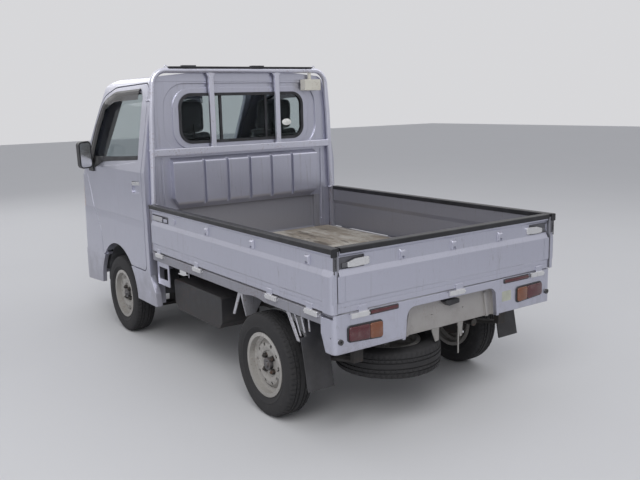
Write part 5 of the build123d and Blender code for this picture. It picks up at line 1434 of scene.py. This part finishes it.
@dataclass(frozen=True)
class Pad:
    """Sewn seat pad, swollen by a cloth simulation.

    Attributes:
        name: the piece's name, before the side is added.
        low: the plain form's lower corner, before it leans.
        high: its upper corner.
        corner: how far its edges are cut back.
        upright: whether the pad stands, so that its face looks forward and not up.
        lean: metres back for each metre up.
        across: places of the sewn channels that run across, along the pad's length.
        wing: distance of the two lengthwise channels from the pad's middle.
        waist: how much narrower the pad is at its top.
    """

    name: str
    low: Point
    high: Point
    corner: float
    upright: bool = False
    lean: float = 0.0
    across: tuple[float, ...] = ()
    wing: float = 0.0
    waist: float = 0.0

    VOXEL = 0.012
    PRESSURE = 4.0
    LAST_FRAME = 20
    CAP = 0.022
    HELD = 0.010
    CHANNEL = (0.0080, 0.0075)
    SEAM = (0.0040, 0.0050)
    SEAM_BEHIND_FACE = 0.022
    QUALITY = 4
    FACING_GAIN = 1.6

    def leaning(self, point: Vector) -> Vector:
        """Where a point of the upright form lies on the leaning pad."""
        return point + Vector((0.0, self.lean * (point.z - self.low[2]), 0.0))

    def plain(self) -> bpy.types.Object:
        """The pad before it swells: a closed form in voxels."""
        shape = Shape().box(self.low, self.high, self.corner)
        middle = (self.low[0] + self.high[0]) / 2
        height = self.high[2] - self.low[2]
        for point in shape.points:
            share = (point.z - self.low[2]) / height
            point.x = middle + (point.x - middle) * (1 - self.waist * share * share)
        pad = linked(self.name, meshed(self.name, map(self.leaning, shape.points), shape.faces))
        voxels = pad.modifiers.new("voxels", "REMESH")
        voxels.mode = "VOXEL"
        voxels.voxel_size = self.VOXEL
        self.settle(pad)
        return pad

    def settle(self, pad: bpy.types.Object) -> None:
        """Apply the pad's modifiers."""
        bpy.context.view_layer.update()
        seen = pad.evaluated_get(bpy.context.evaluated_depsgraph_get())
        mesh = bpy.data.meshes.new_from_object(seen)
        pad.modifiers.clear()
        pad.data = mesh

    def held(self, point: Vector) -> bool:
        """Whether a point of the pad rests on what carries it."""
        if self.upright:
            return point.y - self.lean * (point.z - self.low[2]) > self.high[1] - self.HELD
        return point.z < self.low[2] + self.HELD

    def swell(self, pad: bpy.types.Object) -> None:
        """Blow the cover up from inside, and keep each point near where it was."""
        before = [point.co.copy() for point in pad.data.vertices]
        group = pad.vertex_groups.new(name="held")
        group.add([k for k, point in enumerate(before) if self.held(point)], 1.0, "REPLACE")
        cloth = pad.modifiers.new("swell", "CLOTH")
        cloth.settings.use_pressure = True
        cloth.settings.uniform_pressure_force = self.PRESSURE
        cloth.settings.effector_weights.gravity = 0.0
        cloth.settings.vertex_group_mass = group.name
        cloth.settings.quality = self.QUALITY
        for frame in range(1, self.LAST_FRAME + 1):
            bpy.context.scene.frame_set(frame)
        self.settle(pad)
        bpy.context.scene.frame_set(1)
        for point, start in zip(pad.data.vertices, before):
            move = point.co - start
            if move.length > self.CAP:
                point.co = start + move.normalized() * self.CAP
        LOG.info("%s swelled by up to %.1f mm", self.name,
                 1000 * max((point.co - start).length for point, start in zip(pad.data.vertices, before)))

    def sew(self, mesh: bpy.types.Mesh) -> None:
        """Press the sewn channels into the face, and the seam into the sides."""
        middle = (self.low[0] + self.high[0]) / 2
        depth, width = self.CHANNEL
        seam_depth, seam_width = self.SEAM
        for point in mesh.vertices:
            place, normal = point.co.copy(), point.normal.copy()
            if self.upright:
                run, ahead = place.z, -normal.y
                level = place.y - self.lean * (place.z - self.low[2]) - (self.low[1] + self.SEAM_BEHIND_FACE)
            else:
                run, ahead = place.y, normal.z
                level = self.high[2] - self.SEAM_BEHIND_FACE - place.z
            facing = min(max(ahead * self.FACING_GAIN, 0.0), 1.0)
            aside = abs(place.x - middle)
            gap = min([abs(run - where) for where in self.across if aside < self.wing] + [1.0])
            if self.wing:
                gap = min(gap, abs(aside - self.wing))
            press = depth * facing * exp(-(gap / width) ** 2)
            press += seam_depth * (1 - facing) * exp(-(level / seam_width) ** 2)
            point.co = place - normal * press

    def build(self, shift: float) -> None:
        """Make the left pad, and the right one beside it."""
        pad = self.plain()
        self.swell(pad)
        pad.modifiers.new("finer", "SUBSURF").levels = 1
        self.settle(pad)
        self.sew(pad.data)
        mesh = pad.data
        bpy.data.objects.remove(pad)
        other = mesh.copy()
        other.transform(Matrix.Translation((-shift, 0.0, 0.0)))
        for side, form in ((Side.LEFT, mesh), (Side.RIGHT, other)):
            form.materials.clear()
            piece = piece_of(form, f"{self.name}_{side.word}", CLOTH, "truck", 180.0)


@dataclass
class Cabin:
    """Seats with their pads, sun visors, mirror and gear lever."""

    SHIFT = 0.700
    PADS = (
        Pad("seat_cushion", (0.145, -1.112, 0.688), (0.555, -0.600, 0.762), 0.030,
            across=(-1.00, -0.88, -0.76), wing=0.135),
        Pad("seat_back", (0.142, -0.612, 0.735), (0.558, -0.532, 1.392), 0.030, True, 0.122,
            (0.90, 1.02, 1.14, 1.26), 0.130, 0.10),
        Pad("seat_head", (0.212, -0.528, 1.384), (0.488, -0.450, 1.590), 0.030, True, 0.110, (), 0.090, 0.10))

    def build(self) -> None:
        """Make what shows through the windows."""
        for side in Side:
            base = Shape()
            base.box((0.150, -1.095, 0.6623), (0.550, -0.470, 0.694), 0.006)
            board = [(-0.520, 0.690), (-0.480, 0.690), (-0.405, 1.340), (-0.430, 1.350)]
            base.plate(board, 0.185, 0.515, "X")
            for x in (0.305, 0.395):
                base.tube([(x, -0.435, 1.300), (x, -0.425, 1.440)], 0.006)
            if side is Side.RIGHT:
                base = base.moved(x=-self.SHIFT)
            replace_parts(base.piece("seat_base_" + side.word, PLASTIC), "seat_" + side.word)
        for pad in self.PADS:
            pad.build(self.SHIFT)
        visors = Shape()
        for x in (-0.560, 0.160):
            visors.box((x, -1.100, 1.664), (x + 0.400, -0.950, 1.680), 0.006)
            for end in (x + 0.030, x + 0.370):
                visors.tube([(end, -0.960, 1.672), (end, -0.960, 1.7125)], 0.005)
        visors.piece("sun_visors", HEADLINER)
        mirror = Shape().box((-0.105, -1.112, 1.575), (0.105, -1.095, 1.640), 0.006)
        mirror.tube([(0.0, -1.104, 1.635), (0.0, -1.060, 1.7125)], 0.006)
        mirror.piece("inner_mirror", PLASTIC)
        glass = Shape().box((-0.098, -1.096, 1.581), (0.098, -1.0935, 1.634), 0.0005)
        glass.piece("inner_mirror_glass", MIRROR)
        stick = [(-0.070, -1.315, 0.870), (-0.070, -1.260, 0.895), (-0.070, -1.215, 0.930)]
        lever = Shape().tube(stick, 0.006)
        lever.turned([(-0.020, 0.004), (-0.014, 0.017), (0.004, 0.022), (0.020, 0.016), (0.026, 0.004)],
                     (-0.070, -1.215, 0.932), "Z")
        lever.piece("gear_lever", PLASTIC)


def main() -> None:
    """Build every sub-assembly in turn."""
    logging.basicConfig(level=logging.INFO, format="%(message)s")
    bpy.context.scene.view_settings.view_transform = "Standard"
    for part in (Studio(), Wheels(), Cab(), Bed(), Rear(), Underbody(), Cabin()):
        LOG.info("%s", type(part).__name__)
        part.build()


if __name__ == "__main__":
    main()
